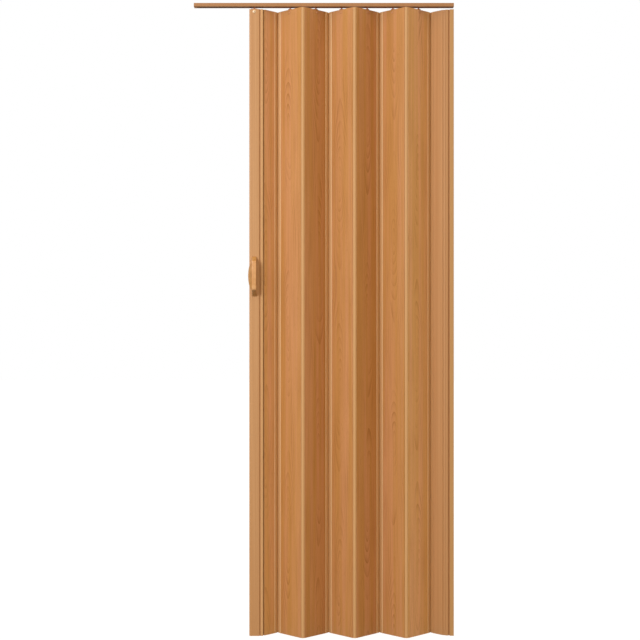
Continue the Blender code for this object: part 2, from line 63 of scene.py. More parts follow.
# The studio: a white floor in a white room, and a camera level with the door's middle.
# A large soft lamp stands to the front left, a little above the door, and the room gives the rest.
CAMERA_PLACE = (-0.0124, -4.612, -1.0168)
CAMERA_LENS_MM = 80.7
FILM_WIDTH_MM = 36
FLOOR_HEIGHT = -2.06
FLOOR_SIZE = 40
LAMP_PLACE = Vector((-2.1, -2.6, 0.35))
LAMP_AIM = Vector((0, 0, -0.95))
LAMP_SIZE = 1.3
LAMP_POWER = 69
ROOM_STRENGTH = 1.08
FLOOR_GLOW = 0.93
FLOOR_PAINT = "#686460"
WHITE = "#FFFFFF"
ROOM_LIGHT = "#FFEED4"
LAMP_LIGHT = "#E8F0FF"


def linear(code):
    """Linear RGBA of an sRGB hex colour."""
    channels = [int(code[start:start + 2], 16) / 255 for start in (1, 3, 5)]
    return (*[c / 12.92 if c <= 0.04045 else ((c + 0.055) / 1.055) ** 2.4 for c in channels], 1)


def feed(node, **inputs):
    """Links or sets a node's inputs, each given by name, with _ for a space, or by number as i0 or i1."""
    for name, value in inputs.items():
        by_number = name[0] == "i" and name[1:].isdigit()
        socket = node.inputs[int(name[1:])] if by_number else node.inputs[name.replace("_", " ")]
        if isinstance(value, bpy.types.NodeSocket):
            node.id_data.links.new(value, socket)
        else:
            socket.default_value = value


def add(tree, kind, settings=None, **inputs):
    """Adds a node with its settings, such as its operation, and feeds its inputs."""
    made = tree.nodes.new(kind)
    for name, value in (settings or {}).items():
        setattr(made, name, value)
    feed(made, **inputs)
    return made


def shown_directly(tree):
    """1 where a ray from the camera, or one that was mirrored or refracted, arrives."""
    path = add(tree, "ShaderNodeLightPath")
    either = add(tree, "ShaderNodeMath", {"operation": "MAXIMUM"},
                 i0=path.outputs["Is Camera Ray"], i1=path.outputs["Is Glossy Ray"])
    return add(tree, "ShaderNodeMath", {"operation": "MAXIMUM"},
               i0=either.outputs[0], i1=path.outputs["Is Transmission Ray"]).outputs[0]


# Where they are seen, the room is plain white and the floor glows almost white. The door gets its light
# from the lamp and the room's warm light, over a grey floor
room = bpy.data.worlds.new("white room")
room.use_nodes = True
room.node_tree.nodes.clear()
room_light = add(room.node_tree, "ShaderNodeBackground", Color=linear(ROOM_LIGHT), Strength=ROOM_STRENGTH)
room_seen = add(room.node_tree, "ShaderNodeBackground", Color=linear(WHITE), Strength=1.0)
room_mix = add(room.node_tree, "ShaderNodeMixShader", Fac=shown_directly(room.node_tree),
               i1=room_light.outputs[0], i2=room_seen.outputs[0])
add(room.node_tree, "ShaderNodeOutputWorld", Surface=room_mix.outputs[0])
bpy.context.scene.world = room

white_floor = bpy.data.materials.new("white studio floor")
white_floor.use_nodes = True
tree = white_floor.node_tree
tree.nodes.clear()
floor_paint = add(tree, "ShaderNodeBsdfDiffuse", Color=linear(FLOOR_PAINT))
glow_strength = add(tree, "ShaderNodeMath", {"operation": "MULTIPLY"},
                    i0=shown_directly(tree), i1=FLOOR_GLOW)
floor_glow = add(tree, "ShaderNodeEmission", Color=linear(WHITE), Strength=glow_strength.outputs[0])
floor_sum = add(tree, "ShaderNodeAddShader", i0=floor_paint.outputs[0], i1=floor_glow.outputs[0])
add(tree, "ShaderNodeOutputMaterial", Surface=floor_sum.outputs[0])
floor_mesh = bpy.data.meshes.new("studio_floor")
work = bmesh.new()
bmesh.ops.create_grid(work, size=FLOOR_SIZE / 2, matrix=Matrix.Translation((0, 0, FLOOR_HEIGHT)))
work.to_mesh(floor_mesh)
work.free()
floor_mesh.materials.append(white_floor)
studio_floor = bpy.data.objects.new("studio_floor", floor_mesh)
bpy.context.scene.collection.objects.link(studio_floor)

lamp = bpy.data.lights.new("soft lamp", "AREA")
lamp.shape = "SQUARE"
lamp.size = LAMP_SIZE
lamp.energy = LAMP_POWER
lamp.color = linear(LAMP_LIGHT)[:3]
lamp_stand = bpy.data.objects.new("soft lamp", lamp)
lamp_stand.location = LAMP_PLACE
lamp_stand.rotation_euler = (LAMP_AIM - LAMP_PLACE).to_track_quat("-Z", "Y").to_euler()
lamp_stand.visible_camera = False
bpy.context.scene.collection.objects.link(lamp_stand)

camera = bpy.data.cameras.new("photograph")
camera.lens = CAMERA_LENS_MM
camera.sensor_width = FILM_WIDTH_MM
camera_stand = bpy.data.objects.new("photograph", camera)
camera_stand.location = CAMERA_PLACE
camera_stand.rotation_euler = (math.radians(90), 0, 0)
bpy.context.scene.collection.objects.link(camera_stand)
bpy.context.scene.camera = camera_stand
bpy.context.scene.view_settings.view_transform = "Standard"


# The top rail is a channel of extruded PVC that opens downwards, in a brown wood tone.
# A shallow bead runs along the lower part of each side. Screws go up through four holes in its top.
RAIL_LENGTH = 0.834
RAIL_DEPTH = 0.026
RAIL_HEIGHT = 0.0122
RAIL_WALL = 0.0015
RAIL_SLOT = 0.009
RAIL_ROUND = 0.0005
RAIL_INNER_ROUND = 0.0004
RAIL_LIP_ROUND = 0.0003
RAIL_FOOT_ROUND = 0.0018
RAIL_BEAD_HEIGHT = 0.0052
RAIL_BEAD_DEPTH = 0.0011
RAIL_BEAD_ROUND = 0.001
RAIL_STEP_ROUND = 0.0006
RAIL_HOLE_RADIUS = 0.0022
RAIL_HOLE_COUNT = 4
RAIL_HOLE_INSET = 0.057
RAIL_BROWN = "#BC8E65"
RAIL_BROWN_DEEP = "#A2744C"
RAIL_SHEEN = 0.08
ROUND_STEPS = 4
DRILL_SIDES = 24
SHARP_ANGLE = math.radians(35)
MERGE_GAP = 0.00001


def begin_tree(title, **kinds):
    """A tree of Geometry Nodes with an input of each kind, and the sockets that give these inputs."""
    made = bpy.data.node_groups.new(title, "GeometryNodeTree")
    for name, kind in kinds.items():
        made.interface.new_socket(name=name.replace("_", " "), in_out="INPUT",
                                  socket_type=f"NodeSocket{kind}")
    made.interface.new_socket(name="Geometry", in_out="OUTPUT", socket_type="NodeSocketGeometry")
    return made, add(made, "NodeGroupInput").outputs


def end_tree(tree, given, geometry):
    """Turns and places the geometry, makes its instances real and gives it the finish."""
    placed = add(tree, "GeometryNodeTransform", Geometry=geometry, Translation=given["Place"],
                 Rotation=given["Turn"])
    real = add(tree, "GeometryNodeRealizeInstances", Geometry=placed.outputs[0])
    finished = add(tree, "GeometryNodeSetMaterial", Geometry=real.outputs[0], Material=given["Finish"])
    add(tree, "NodeGroupOutput", Geometry=finished.outputs[0])


# The extrusion fills an outline and raises it. Before it is placed, each point keeps where it is on the
# profile as the print attribute, so that a finish follows the profile wherever the piece stands.
extrusion_tree, given = begin_tree("PVC extrusion", Outline="Object", Start="Float", Length="Float",
                                   Place="Vector", Turn="Rotation", Print_place="Vector", Finish="Material")
tree = extrusion_tree
drawn = add(tree, "GeometryNodeObjectInfo", Object=given["Outline"])
loops = add(tree, "GeometryNodeMeshToCurve", Mesh=drawn.outputs["Geometry"])
filled = add(tree, "GeometryNodeFillCurve", Curve=loops.outputs[0])
upward = add(tree, "ShaderNodeCombineXYZ", Z=given["Length"])
walls = add(tree, "GeometryNodeExtrudeMesh", Mesh=filled.outputs[0], Offset=upward.outputs[0],
            Offset_Scale=1.0, Individual=False)
end_cap = add(tree, "GeometryNodeFlipFaces", Mesh=filled.outputs[0])
joined = add(tree, "GeometryNodeJoinGeometry", Geometry=end_cap.outputs[0])
tree.links.new(walls.outputs["Mesh"], joined.inputs[0])
closed = add(tree, "GeometryNodeMergeByDistance", Geometry=joined.outputs[0], Distance=MERGE_GAP)
start = add(tree, "ShaderNodeCombineXYZ", Z=given["Start"])
raised = add(tree, "GeometryNodeTransform", Geometry=closed.outputs[0], Translation=start.outputs[0])
here = add(tree, "GeometryNodeInputPosition")
print_point = add(tree, "ShaderNodeVectorMath", {"operation": "ADD"}, i0=here.outputs[0],
                  i1=given["Print place"])
printed = add(tree, "GeometryNodeStoreNamedAttribute", {"data_type": "FLOAT_VECTOR", "domain": "POINT"},
              Geometry=raised.outputs[0], Name="print", Value=print_point.outputs[0])
end_tree(tree, given, printed.outputs[0])


def with_modifiers(piece):
    """A plain mesh of the piece as its modifiers make it."""
    bpy.context.view_layer.update()
    graph = bpy.context.evaluated_depsgraph_get()
    return bpy.data.meshes.new_from_object(piece.evaluated_get(graph), preserve_all_data_layers=True,
                                           depsgraph=graph)


def shape(name, tree, **sizes):
    """A plain mesh object made by a tree of Geometry Nodes, with the tree's inputs given by name."""
    made = bpy.data.objects.new(name, bpy.data.meshes.new(name))
    bpy.context.scene.collection.objects.link(made)
    modifier = made.modifiers.new(name, "NODES")
    modifier.node_group = tree
    for socket in tree.interface.items_tree:
        key = socket.name.replace(" ", "_")
        if socket.in_out == "INPUT" and key in sizes:
            modifier[socket.identifier] = sizes[key]
    mesh = with_modifiers(made)
    made.modifiers.remove(modifier)
    made.data = mesh
    mesh.name = name
    mesh.shade_smooth()
    mesh.set_sharp_from_angle(angle=SHARP_ANGLE)
    return made


def rounded(corners):
    """A closed outline from (x, y, radius) corners, each rounded by a curve close to an arc."""
    points = []
    for index, (x, y, radius) in enumerate(corners):
        corner = Vector((x, y))
        before = Vector(corners[index - 1][:2]) - corner
        after = Vector(corners[(index + 1) % len(corners)][:2]) - corner
        if radius == 0:
            points.append(corner)
            continue
        reach = radius / math.tan(before.angle(after) / 2)
        reach = min(reach, before.length / 2, after.length / 2)
        first = corner + before.normalized() * reach
        last = corner + after.normalized() * reach
        for step in range(ROUND_STEPS + 1):
            share = step / ROUND_STEPS
            points.append(first * (1 - share) ** 2 + corner * 2 * share * (1 - share) + last * share ** 2)
    return points


def extruded(name, outlines, low, high, finish, place=(0, 0, 0), turn=(0, 0, 0), print_place=(0, 0, 0)):
    """A profile with any holes in it, drawn in X and Y and raised along Z, then turned and placed."""
    points, edges = [], []
    for outline in outlines:
        first, count = len(points), len(outline)
        points += [(x, y, 0) for x, y in outline]
        edges += [(first + index, first + (index + 1) % count) for index in range(count)]
    wire = bpy.data.meshes.new(f"{name} outline")
    wire.from_pydata(points, edges, [])
    drawing = bpy.data.objects.new(f"{name} outline", wire)
    bpy.context.scene.collection.objects.link(drawing)
    made = shape(name, extrusion_tree, Outline=drawing, Start=low, Length=high - low, Place=place,
                 Turn=turn, Print_place=print_place, Finish=finish)
    bpy.data.objects.remove(drawing)
    return made


def drilled(piece, places, radius, axis, reach):
    """Cuts a round hole at each place, along X, Y or Z. It reaches as far to either side of the place."""
    for place in places:
        work = bmesh.new()
        facing = Vector(axis).to_track_quat("Z", "Y").to_matrix().to_4x4()
        bmesh.ops.create_cone(work, cap_ends=True, segments=DRILL_SIDES, radius1=radius, radius2=radius,
                              depth=2 * reach, matrix=Matrix.Translation(place) @ facing)
        drill = bpy.data.objects.new("drill", bpy.data.meshes.new("drill"))
        work.to_mesh(drill.data)
        work.free()
        bpy.context.scene.collection.objects.link(drill)
        cut = piece.modifiers.new("drill", "BOOLEAN")
        cut.object = drill
        mesh = with_modifiers(piece)
        piece.modifiers.remove(cut)
        piece.data = mesh
        bpy.data.objects.remove(drill)
    piece.data.set_sharp_from_angle(angle=SHARP_ANGLE)


# Impact-modified PVC comes out of the die with a dull skin, which mirrors less than polished PVC
MATT_SHEEN = 0.25
PVC_IOR = 1.53
BROAD_STREAK_WIDTHS = 8
BROAD_STREAK_LENGTHS = 4
STREAK_BUMP = 0.3
STREAK_DEPTH = 0.0001
SMOOTHER_BY = 0.05
ROUGHER_BY = 0.08


def blank_finish(name):
    """A new material, with its tree and its shader."""
    made = bpy.data.materials.new(name)
    made.use_nodes = True
    return made, made.node_tree, made.node_tree.nodes["Principled BSDF"]


def print_noise(tree, flow, width_mm, length_mm, detail):
    """Noise over the print, in cells of a real width across the profile and a real length along it."""
    per_metre = (1000 / width_mm, 1000 / width_mm, 1000 / length_mm)
    place = add(tree, "ShaderNodeVectorMath", {"operation": "MULTIPLY"}, i0=flow, i1=per_metre)
    return add(tree, "ShaderNodeTexNoise", Vector=place.outputs[0], Scale=1.0, Detail=detail).outputs["Fac"]


def streaky(name, light, deep, across_mm, along_mm, contrast, roughness, sheen=MATT_SHEEN):
    """Extruded PVC. The die leaves fine and broad streaks along it, in tone, gloss and relief."""
    made, tree, shader = blank_finish(name)
    flow = add(tree, "ShaderNodeAttribute", {"attribute_name": "print"}).outputs["Vector"]
    fine = print_noise(tree, flow, across_mm, along_mm, detail=3.0)
    broad = print_noise(tree, flow, BROAD_STREAK_WIDTHS * across_mm, BROAD_STREAK_LENGTHS * along_mm,
                        detail=2.0)
    both = add(tree, "ShaderNodeMath", {"operation": "ADD"}, i0=fine, i1=broad)
    tone = add(tree, "ShaderNodeMapRange", Value=both.outputs[0], From_Min=1 - contrast,
               From_Max=1 + contrast)
    colour = add(tree, "ShaderNodeMix", {"data_type": "RGBA"}, Factor=tone.outputs[0],
                 i6=linear(deep), i7=linear(light))
    satin = add(tree, "ShaderNodeMapRange", Value=fine, To_Min=roughness - SMOOTHER_BY,
                To_Max=roughness + ROUGHER_BY)
    relief = add(tree, "ShaderNodeBump", Height=fine, Strength=STREAK_BUMP, Distance=STREAK_DEPTH)
    feed(shader, Base_Color=colour.outputs[2], Roughness=satin.outputs[0], Normal=relief.outputs[0],
         IOR=PVC_IOR, Specular_IOR_Level=sheen)
    return made


# The rail's brown compound shows soft darker streaks and hardly any gloss
rail_pvc = streaky("extruded PVC, brown wood tone", RAIL_BROWN, RAIL_BROWN_DEEP, across_mm=1.6,
                   along_mm=160, contrast=0.35, roughness=0.5, sheen=RAIL_SHEEN)
rail_side = RAIL_DEPTH / 2
rail_floor = -RAIL_HEIGHT + RAIL_WALL
rail_bead_top = -RAIL_HEIGHT + RAIL_BEAD_HEIGHT
rail_half = [
    (rail_side - RAIL_WALL, -RAIL_WALL, RAIL_INNER_ROUND),
    (rail_side - RAIL_WALL, rail_floor, RAIL_INNER_ROUND),
    (RAIL_SLOT / 2, rail_floor, RAIL_LIP_ROUND),
    (RAIL_SLOT / 2, -RAIL_HEIGHT, RAIL_LIP_ROUND),
    (rail_side, -RAIL_HEIGHT, RAIL_FOOT_ROUND),
    (rail_side, rail_bead_top, RAIL_BEAD_ROUND),
    (rail_side - RAIL_BEAD_DEPTH, rail_bead_top + RAIL_BEAD_DEPTH, RAIL_STEP_ROUND),
    (rail_side - RAIL_BEAD_DEPTH, 0, RAIL_ROUND),
]
rail_outline = rounded(rail_half + [(-y, z, radius) for y, z, radius in reversed(rail_half)])
upright_to_x = (math.radians(90), 0, math.radians(90))
rail = extruded("top_rail_look", [rail_outline], -RAIL_LENGTH / 2, RAIL_LENGTH / 2, rail_pvc,
                turn=upright_to_x)
hole_reach = RAIL_LENGTH / 2 - RAIL_HOLE_INSET
hole_xs = [hole_reach * (2 * index / (RAIL_HOLE_COUNT - 1) - 1) for index in range(RAIL_HOLE_COUNT)]
drilled(rail, [(x, 0, 0) for x in hole_xs], RAIL_HOLE_RADIUS, (0, 0, 1), RAIL_WALL * 2)
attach(rail, "root")
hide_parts("top_rail")


# The slats are hollow PVC extrusions, 93 mm wide and 7 mm thick, with a groove down each edge.
# A printed foil with a beech grain covers both faces and the lip on the outside of each fold. On the
# inside it stops at a raised rim of pale PVC. The half slat at the lead post is made alike.
SLAT_COUNT = 6
SLAT_WIDTH = 0.093
SLAT_THICKNESS = 0.007
SLAT_WALL = 0.001
SLAT_ROUND = 0.0009
SLAT_CHAMBERS = 5
PANEL_CHAMBERS = 2
LIP_LENGTH = 0.008
RIM_WIDTH = 0.0044
RIM_HEIGHT = 0.0009
RIM_EDGE_HEIGHT = 0.0002
FOLD_REACH = 0.011
FOLD_OFFSET = 0.0025
END_REACH = 0.004
GROOVE_DEPTH = 0.004
GROOVE_WIDTH = 0.0032
GROOVE_LIP = 0.0012
GROOVE_MOUTH = 0.0018
SMALL_ROUND = 0.0003
TAN = "#CF9E6D"
TAN_DEEP = "#C18D5B"
BARE_TAN = "#E9C697"
BARE_TAN_DEEP = "#DFB886"
BEECH = "#CC975B"
BEECH_PINK = "#D09362"
BEECH_GOLD = "#C68C4B"
BEECH_LINE = "#96591F"
# Painted light: how much paler and bluer slat 6 and the lead panel are drawn
PAINTED_LIGHT_TINT = (1.27, 1.44, 1.75)
FOIL_ROUGHNESS = (0.5, 0.62)
DRIFT_WIDTH_MM = 71.43
DRIFT_LENGTH_MM = 312.5
DRIFT_REACH_MM = 30
RING_SPACING_MM = 5
RING_FADE = (0.42, 0.68)
RING_SHARE = 0.52
LATE_WOOD_POWER = 3.0
ARCH_HALF_WIDTH_MM = 36
ARCH_PERIOD_MM = 1300
PATCH_WIDTH_MM = 33.333
PATCH_LENGTH_MM = 200
BAND_WIDTH_MM = 18.182
BAND_LENGTH_MM = 1111.1
BAND_FADE = (0.38, 0.62)
BAND_SHARE = 0.8
PORE_WIDTH_MM = 1.4
PORE_LENGTH_MM = 14
PORE_FADE = (0.55, 0.8)
PORE_SHARE = 0.35
PORE_BUMP = 0.25
PORE_DEPTH = 0.00015
STREAK_WIDTH_MM = 3.33333
STREAK_LENGTH_MM = 250
STREAK_FADE = (0.45, 0.75)
STREAK_SHARE = 0.3
FOIL_SWAY = 0.009
FOIL_SWAY_TURN = 2.3
FOIL_STEP_THROUGH = 0.4
FOIL_STEP_ALONG = 0.41
LEAD_PANEL_FOIL = (0, 3.1, 0.2)
END_NORMAL = 0.5

curtain_foot, curtain_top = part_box("slat_1")[0].z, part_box("slat_1")[1].z
half_slat = SLAT_WIDTH / 2
first_fold, second_fold = hinge_places["fold_1"], hinge_places["fold_2"]
fold_line_turn = math.atan2(first_fold.y - second_fold.y, second_fold.x - first_fold.x)
slat_turn = fold_line_turn + math.atan2(2 * FOLD_OFFSET, SLAT_WIDTH + 2 * FOLD_REACH)

# Bare PVC has long, faint streaks and a satin face. The rims are of a paler compound than the wall's pieces
tan_pvc = streaky("extruded PVC, plain tan", TAN, TAN_DEEP, across_mm=2.2, along_mm=500, contrast=0.3,
                  roughness=0.5)
bare_pvc = streaky("extruded PVC, pale tan", BARE_TAN, BARE_TAN_DEEP, across_mm=2.2, along_mm=500,
                   contrast=0.3, roughness=0.5)

# The foil is printed and lacquered matt. It shows dark growth lines in long arches, short pores and
# fine streaks over pink and golden bands, and mirrors little
beech_print, tree, shader = blank_finish("printed PVC foil, beech grain")
flow = add(tree, "ShaderNodeAttribute", {"attribute_name": "print"}).outputs["Vector"]
# Slow sideways drift of the whole grain, a few millimetres over a hand's length
drift = print_noise(tree, flow, DRIFT_WIDTH_MM, DRIFT_LENGTH_MM, detail=2.0)
axes = add(tree, "ShaderNodeSeparateXYZ", Vector=flow)
shifted = add(tree, "ShaderNodeMath", {"operation": "MULTIPLY_ADD"}, i0=drift, i1=DRIFT_REACH_MM / 1000,
              i2=axes.outputs["X"])
across = add(tree, "ShaderNodeMath", {"operation": "SUBTRACT"}, i0=shifted.outputs[0],
             i1=DRIFT_REACH_MM / 2000)
# Growth rings of a trunk cut lengthways: their distance from the pith swells and shrinks along the board
climb = add(tree, "ShaderNodeMath", {"operation": "MULTIPLY"}, i0=axes.outputs["Z"],
            i1=2 * math.pi * 1000 / ARCH_PERIOD_MM)
swing = add(tree, "ShaderNodeMath", {"operation": "SINE"}, i0=climb.outputs[0])
depth = add(tree, "ShaderNodeMath", {"operation": "MULTIPLY"}, i0=swing.outputs[0],
            i1=ARCH_HALF_WIDTH_MM / 1000)
across_squared = add(tree, "ShaderNodeMath", {"operation": "MULTIPLY"}, i0=across.outputs[0],
                     i1=across.outputs[0])
squares = add(tree, "ShaderNodeMath", {"operation": "MULTIPLY_ADD"}, i0=depth.outputs[0],
              i1=depth.outputs[0], i2=across_squared.outputs[0])
radius = add(tree, "ShaderNodeMath", {"operation": "SQRT"}, i0=squares.outputs[0])
ring = add(tree, "ShaderNodeMath", {"operation": "MULTIPLY"}, i0=radius.outputs[0],
           i1=1000 / RING_SPACING_MM)
ring_share = add(tree, "ShaderNodeMath", {"operation": "FRACT"}, i0=ring.outputs[0])
late_wood = add(tree, "ShaderNodeMath", {"operation": "POWER"}, i0=ring_share.outputs[0], i1=LATE_WOOD_POWER)
patches = print_noise(tree, flow, PATCH_WIDTH_MM, PATCH_LENGTH_MM, detail=1.0)
strength = add(tree, "ShaderNodeMapRange", Value=patches, From_Min=RING_FADE[0], From_Max=RING_FADE[1])
lines = add(tree, "ShaderNodeMath", {"operation": "MULTIPLY"}, i0=late_wood.outputs[0],
            i1=strength.outputs[0])
# Broad pink and golden bands, about 20 mm wide and a metre long
bands = print_noise(tree, flow, BAND_WIDTH_MM, BAND_LENGTH_MM, detail=2.0)
band_share = add(tree, "ShaderNodeMapRange", Value=bands, From_Min=BAND_FADE[0], From_Max=BAND_FADE[1])
band_colour = add(tree, "ShaderNodeMix", {"data_type": "RGBA"}, Factor=band_share.outputs[0],
                  i6=linear(BEECH_GOLD), i7=linear(BEECH_PINK))
base = add(tree, "ShaderNodeMix", {"data_type": "RGBA"}, Factor=BAND_SHARE, i6=linear(BEECH),
           i7=band_colour.outputs[2])
# Pores: short dark flecks, drawn about four times as coarse as real ones so that they show
pores = print_noise(tree, flow, PORE_WIDTH_MM, PORE_LENGTH_MM, detail=2.0)
pore_share = add(tree, "ShaderNodeMapRange", Value=pores, From_Min=PORE_FADE[0], From_Max=PORE_FADE[1],
                 To_Max=PORE_SHARE)
streaks = print_noise(tree, flow, STREAK_WIDTH_MM, STREAK_LENGTH_MM, detail=3.0)
streak_share = add(tree, "ShaderNodeMapRange", Value=streaks, From_Min=STREAK_FADE[0],
                   From_Max=STREAK_FADE[1], To_Max=STREAK_SHARE)
marks = add(tree, "ShaderNodeMath", {"operation": "MAXIMUM"}, i0=pore_share.outputs[0],
            i1=streak_share.outputs[0])
grain = add(tree, "ShaderNodeMath", {"operation": "MULTIPLY_ADD", "use_clamp": True}, i0=lines.outputs[0],
            i1=RING_SHARE, i2=marks.outputs[0])
wood_colour = add(tree, "ShaderNodeMix", {"data_type": "RGBA"}, Factor=grain.outputs[0], i6=base.outputs[2],
                  i7=linear(BEECH_LINE))
# Painted light: slat 6 and the lead panel face away from the lamp, so they are drawn with a paler, bluer
# foil that shows them brighter
painted_light_share = add(tree, "ShaderNodeAttribute", {"attribute_name": "painted light foil"}).outputs["Fac"]
painted_light_tint = add(tree, "ShaderNodeMix", {"data_type": "VECTOR"}, Factor=painted_light_share, i4=(1, 1, 1), i5=PAINTED_LIGHT_TINT)
tinted = add(tree, "ShaderNodeVectorMath", {"operation": "MULTIPLY"}, i0=wood_colour.outputs[2],
             i1=painted_light_tint.outputs[1])
satin = add(tree, "ShaderNodeMapRange", Value=grain.outputs[0], To_Min=FOIL_ROUGHNESS[0],
            To_Max=FOIL_ROUGHNESS[1])
relief = add(tree, "ShaderNodeBump", {"invert": True}, Height=marks.outputs[0], Strength=PORE_BUMP,
             Distance=PORE_DEPTH)
feed(shader, Base_Color=tinted.outputs[0], Roughness=satin.outputs[0], Normal=relief.outputs[0],
     IOR=PVC_IOR, Specular_IOR_Level=MATT_SHEEN)


def grooved_edge(edge, side, thickness, round_edge):
    """Front half of a grooved edge at x = edge, from the front face in to the groove's floor."""
    lip = edge - side * GROOVE_LIP
    floor = edge - side * GROOVE_DEPTH
    return [
        (edge, -thickness / 2, round_edge),
        (edge, -GROOVE_MOUTH / 2, SMALL_ROUND),
        (lip, -GROOVE_MOUTH / 2, SMALL_ROUND),
        (lip, -GROOVE_WIDTH / 2, SMALL_ROUND),
        (floor, -GROOVE_WIDTH / 2, SMALL_ROUND),
    ]


def both_faces(front):
    """A rounded closed outline from the half of it at y <= 0, which the other half mirrors."""
    return rounded(front + [(x, -y, radius) for x, y, radius in reversed(front)])


def slat_end(edge, side, face, lean):
    """One corner of a slat, from its front (face -1) or back (face 1) in to the groove's floor.

    Where lean, side and face multiply to 1, the corner is on the outside of the bend and has the lip.
    The wall panel has none at the wall hinge, where the end post's tongue takes the room.
    """
    corners = grooved_edge(edge, side, SLAT_THICKNESS, SLAT_ROUND)
    outer, under = -SLAT_THICKNESS / 2, SLAT_WALL - SLAT_THICKNESS / 2
    tip = edge + side * LIP_LENGTH
    if lean * side * face > 0 and edge != -END_REACH:
        corners[:1] = [(tip, outer, SLAT_ROUND), (tip, under, SMALL_ROUND), (edge, under, SMALL_ROUND)]
    elif abs(edge) == half_slat:
        rim = edge - side * RIM_WIDTH
        corners[:1] = [(rim, outer, 0), (rim + side * RIM_HEIGHT, outer - RIM_HEIGHT, 0),
                       (edge, outer - RIM_EDGE_HEIGHT, SLAT_ROUND)]
    return [(x, -face * y, radius) for x, y, radius in corners]


def slat(name, left, right, chambers, finish, place, lean, print_place):
    """A hollow slat, drawn from left to right with its middle on y = 0, then turned the way it leans."""
    outline = slat_end(left, -1, -1, lean)[::-1] + slat_end(right, 1, -1, lean)
    outline += slat_end(right, 1, 1, lean)[::-1] + slat_end(left, -1, 1, lean)
    inset = GROOVE_DEPTH + SLAT_WALL
    width = (right - left - 2 * inset - (chambers - 1) * SLAT_WALL) / chambers
    half = SLAT_THICKNESS / 2 - SLAT_WALL
    outlines = [rounded(outline)]
    for index in range(chambers):
        low = left + inset + index * (width + SLAT_WALL)
        outlines.append(both_faces([(low, -half, SMALL_ROUND), (low + width, -half, SMALL_ROUND)]))
    turn = lean * slat_turn
    made = extruded(name, outlines, curtain_foot, curtain_top, finish, place, (0, 0, turn), print_place)
    made.data.materials.clear()
    made.data.materials.append(finish)
    made.data.materials.append(bare_pvc if finish == beech_print else finish)
    # The foil covers the outside of both faces and of the lip, and not the rims, the edges or the cut ends
    to_slat = Matrix.Rotation(-turn, 4, "Z") @ Matrix.Translation(-Vector(place))
    for face in made.data.polygons:
        x, y, _ = to_slat @ face.center
        on_face = abs(y) > SLAT_THICKNESS / 2 - SLAT_ROUND and abs(face.normal.z) < END_NORMAL
        on_rim = lean * x * y < 0 and abs(x) > half_slat - RIM_WIDTH
        face.material_index = 0 if on_face and not on_rim else 1
    return made


def use_painted_light(made):
    """Marks all points of a slat for the painted light, a paler and bluer foil."""
    values = made.data.attributes.new("painted light foil", "FLOAT", "POINT").data
    values.foreach_set("value", [1.0] * len(values))


# Each slat takes another stretch of the foil
for number in range(1, SLAT_COUNT + 1):
    lean = -1 if number % 2 else 1
    place = (hinge_places[f"glider_swivel_{number}"].x, 0, 0)
    sway = FOIL_SWAY * math.sin(number * FOIL_SWAY_TURN)
    foil = (sway, number * FOIL_STEP_THROUGH, number * FOIL_STEP_ALONG)
    made = slat(f"slat_{number}_look", -half_slat, half_slat, SLAT_CHAMBERS, beech_print, place, lean, foil)
    # Slat 6, which faces away from the lamp, is drawn paler as painted light
    if number == SLAT_COUNT:
        use_painted_light(made)
    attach(made, f"slat_{number}")
    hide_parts(f"slat_{number}")
lead_panel = slat("lead_panel_look", END_REACH, half_slat, PANEL_CHAMBERS, beech_print,
                  (hinge_places["post_hinge"].x, 0, 0), lean=1, print_place=LEAD_PANEL_FOIL)
# The lead panel faces away from the lamp too, and is drawn paler as painted light
use_painted_light(lead_panel)
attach(lead_panel, "lead_panel")
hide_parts("lead_panel")


# The half slat at the wall end is the same extrusion in plain tan PVC, without the foil.
# Extruding leaves it with fine streaks down its length and a satin face.
wall_panel = slat("wall_panel_look", -half_slat, -END_REACH, PANEL_CHAMBERS, tan_pvc,
                  (hinge_places["wall_hinge"].x, 0, 0), lean=-1, print_place=(0, 0, 0))
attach(wall_panel, "wall_panel")
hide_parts("wall_panel")


# Soft PVC strips join the slats. A bead along each edge slides into the slat's groove.
# The strip's two leaves are thick, and it bends where a groove down its inner side leaves it thin.
# Its outer side is one round back, which fills the space between the two lips.
LEAF_THICKNESS = 0.0018
FOLD_LEAF_INNER = 0.003
FOLD_LEAF_OUTER = 0.0019
FOLD_CREASE = ((0.0016, -0.0012), (0.0009, 0.0022))
END_CREASE = ((0.0007, -0.0009), (0.0003, 0.0))
BACK_ROUND = 0.007
FIT_GAP = 0.0003
SOFT_TAN = "#DAAC77"
SOFT_TAN_DEEP = "#CE9E68"

# Soft PVC runs slowly through the die, so its streaks are longer. Between the slats it is lighter than
# they are, and at the wall it has their plain tan
soft_pvc = streaky("soft extruded PVC, light tan", SOFT_TAN, SOFT_TAN_DEEP, across_mm=2.5, along_mm=700,
                   contrast=0.35, roughness=0.5)
wall_strip_pvc = streaky("soft extruded PVC, plain tan", TAN, TAN_DEEP, across_mm=2.5, along_mm=700,
                         contrast=0.35, roughness=0.5)


def strip_leaf(side, turn, reach, offset, inner_half, outer_half):
    """Inner and outer corners of one leaf of a strip, from its bead to where it leaves the groove."""
    bead = GROOVE_WIDTH / 2 - FIT_GAP
    neck = GROOVE_MOUTH / 2 - FIT_GAP
    floor = -GROOVE_DEPTH + FIT_GAP
    lip = -GROOVE_LIP - FIT_GAP
    held = [(floor, bead), (lip, bead), (lip, neck), (FIT_GAP, neck)]
    rotation = Matrix.Rotation(turn, 2)
    inner_corners = [*held, (FIT_GAP, inner_half)]
    outer_corners = [*held, (FIT_GAP, outer_half)]
    inner = [rotation @ Vector((side * (out - reach), -y - offset)) for out, y in inner_corners]
    outer = [rotation @ Vector((side * (out - reach), y - offset)) for out, y in outer_corners]
    return inner, outer


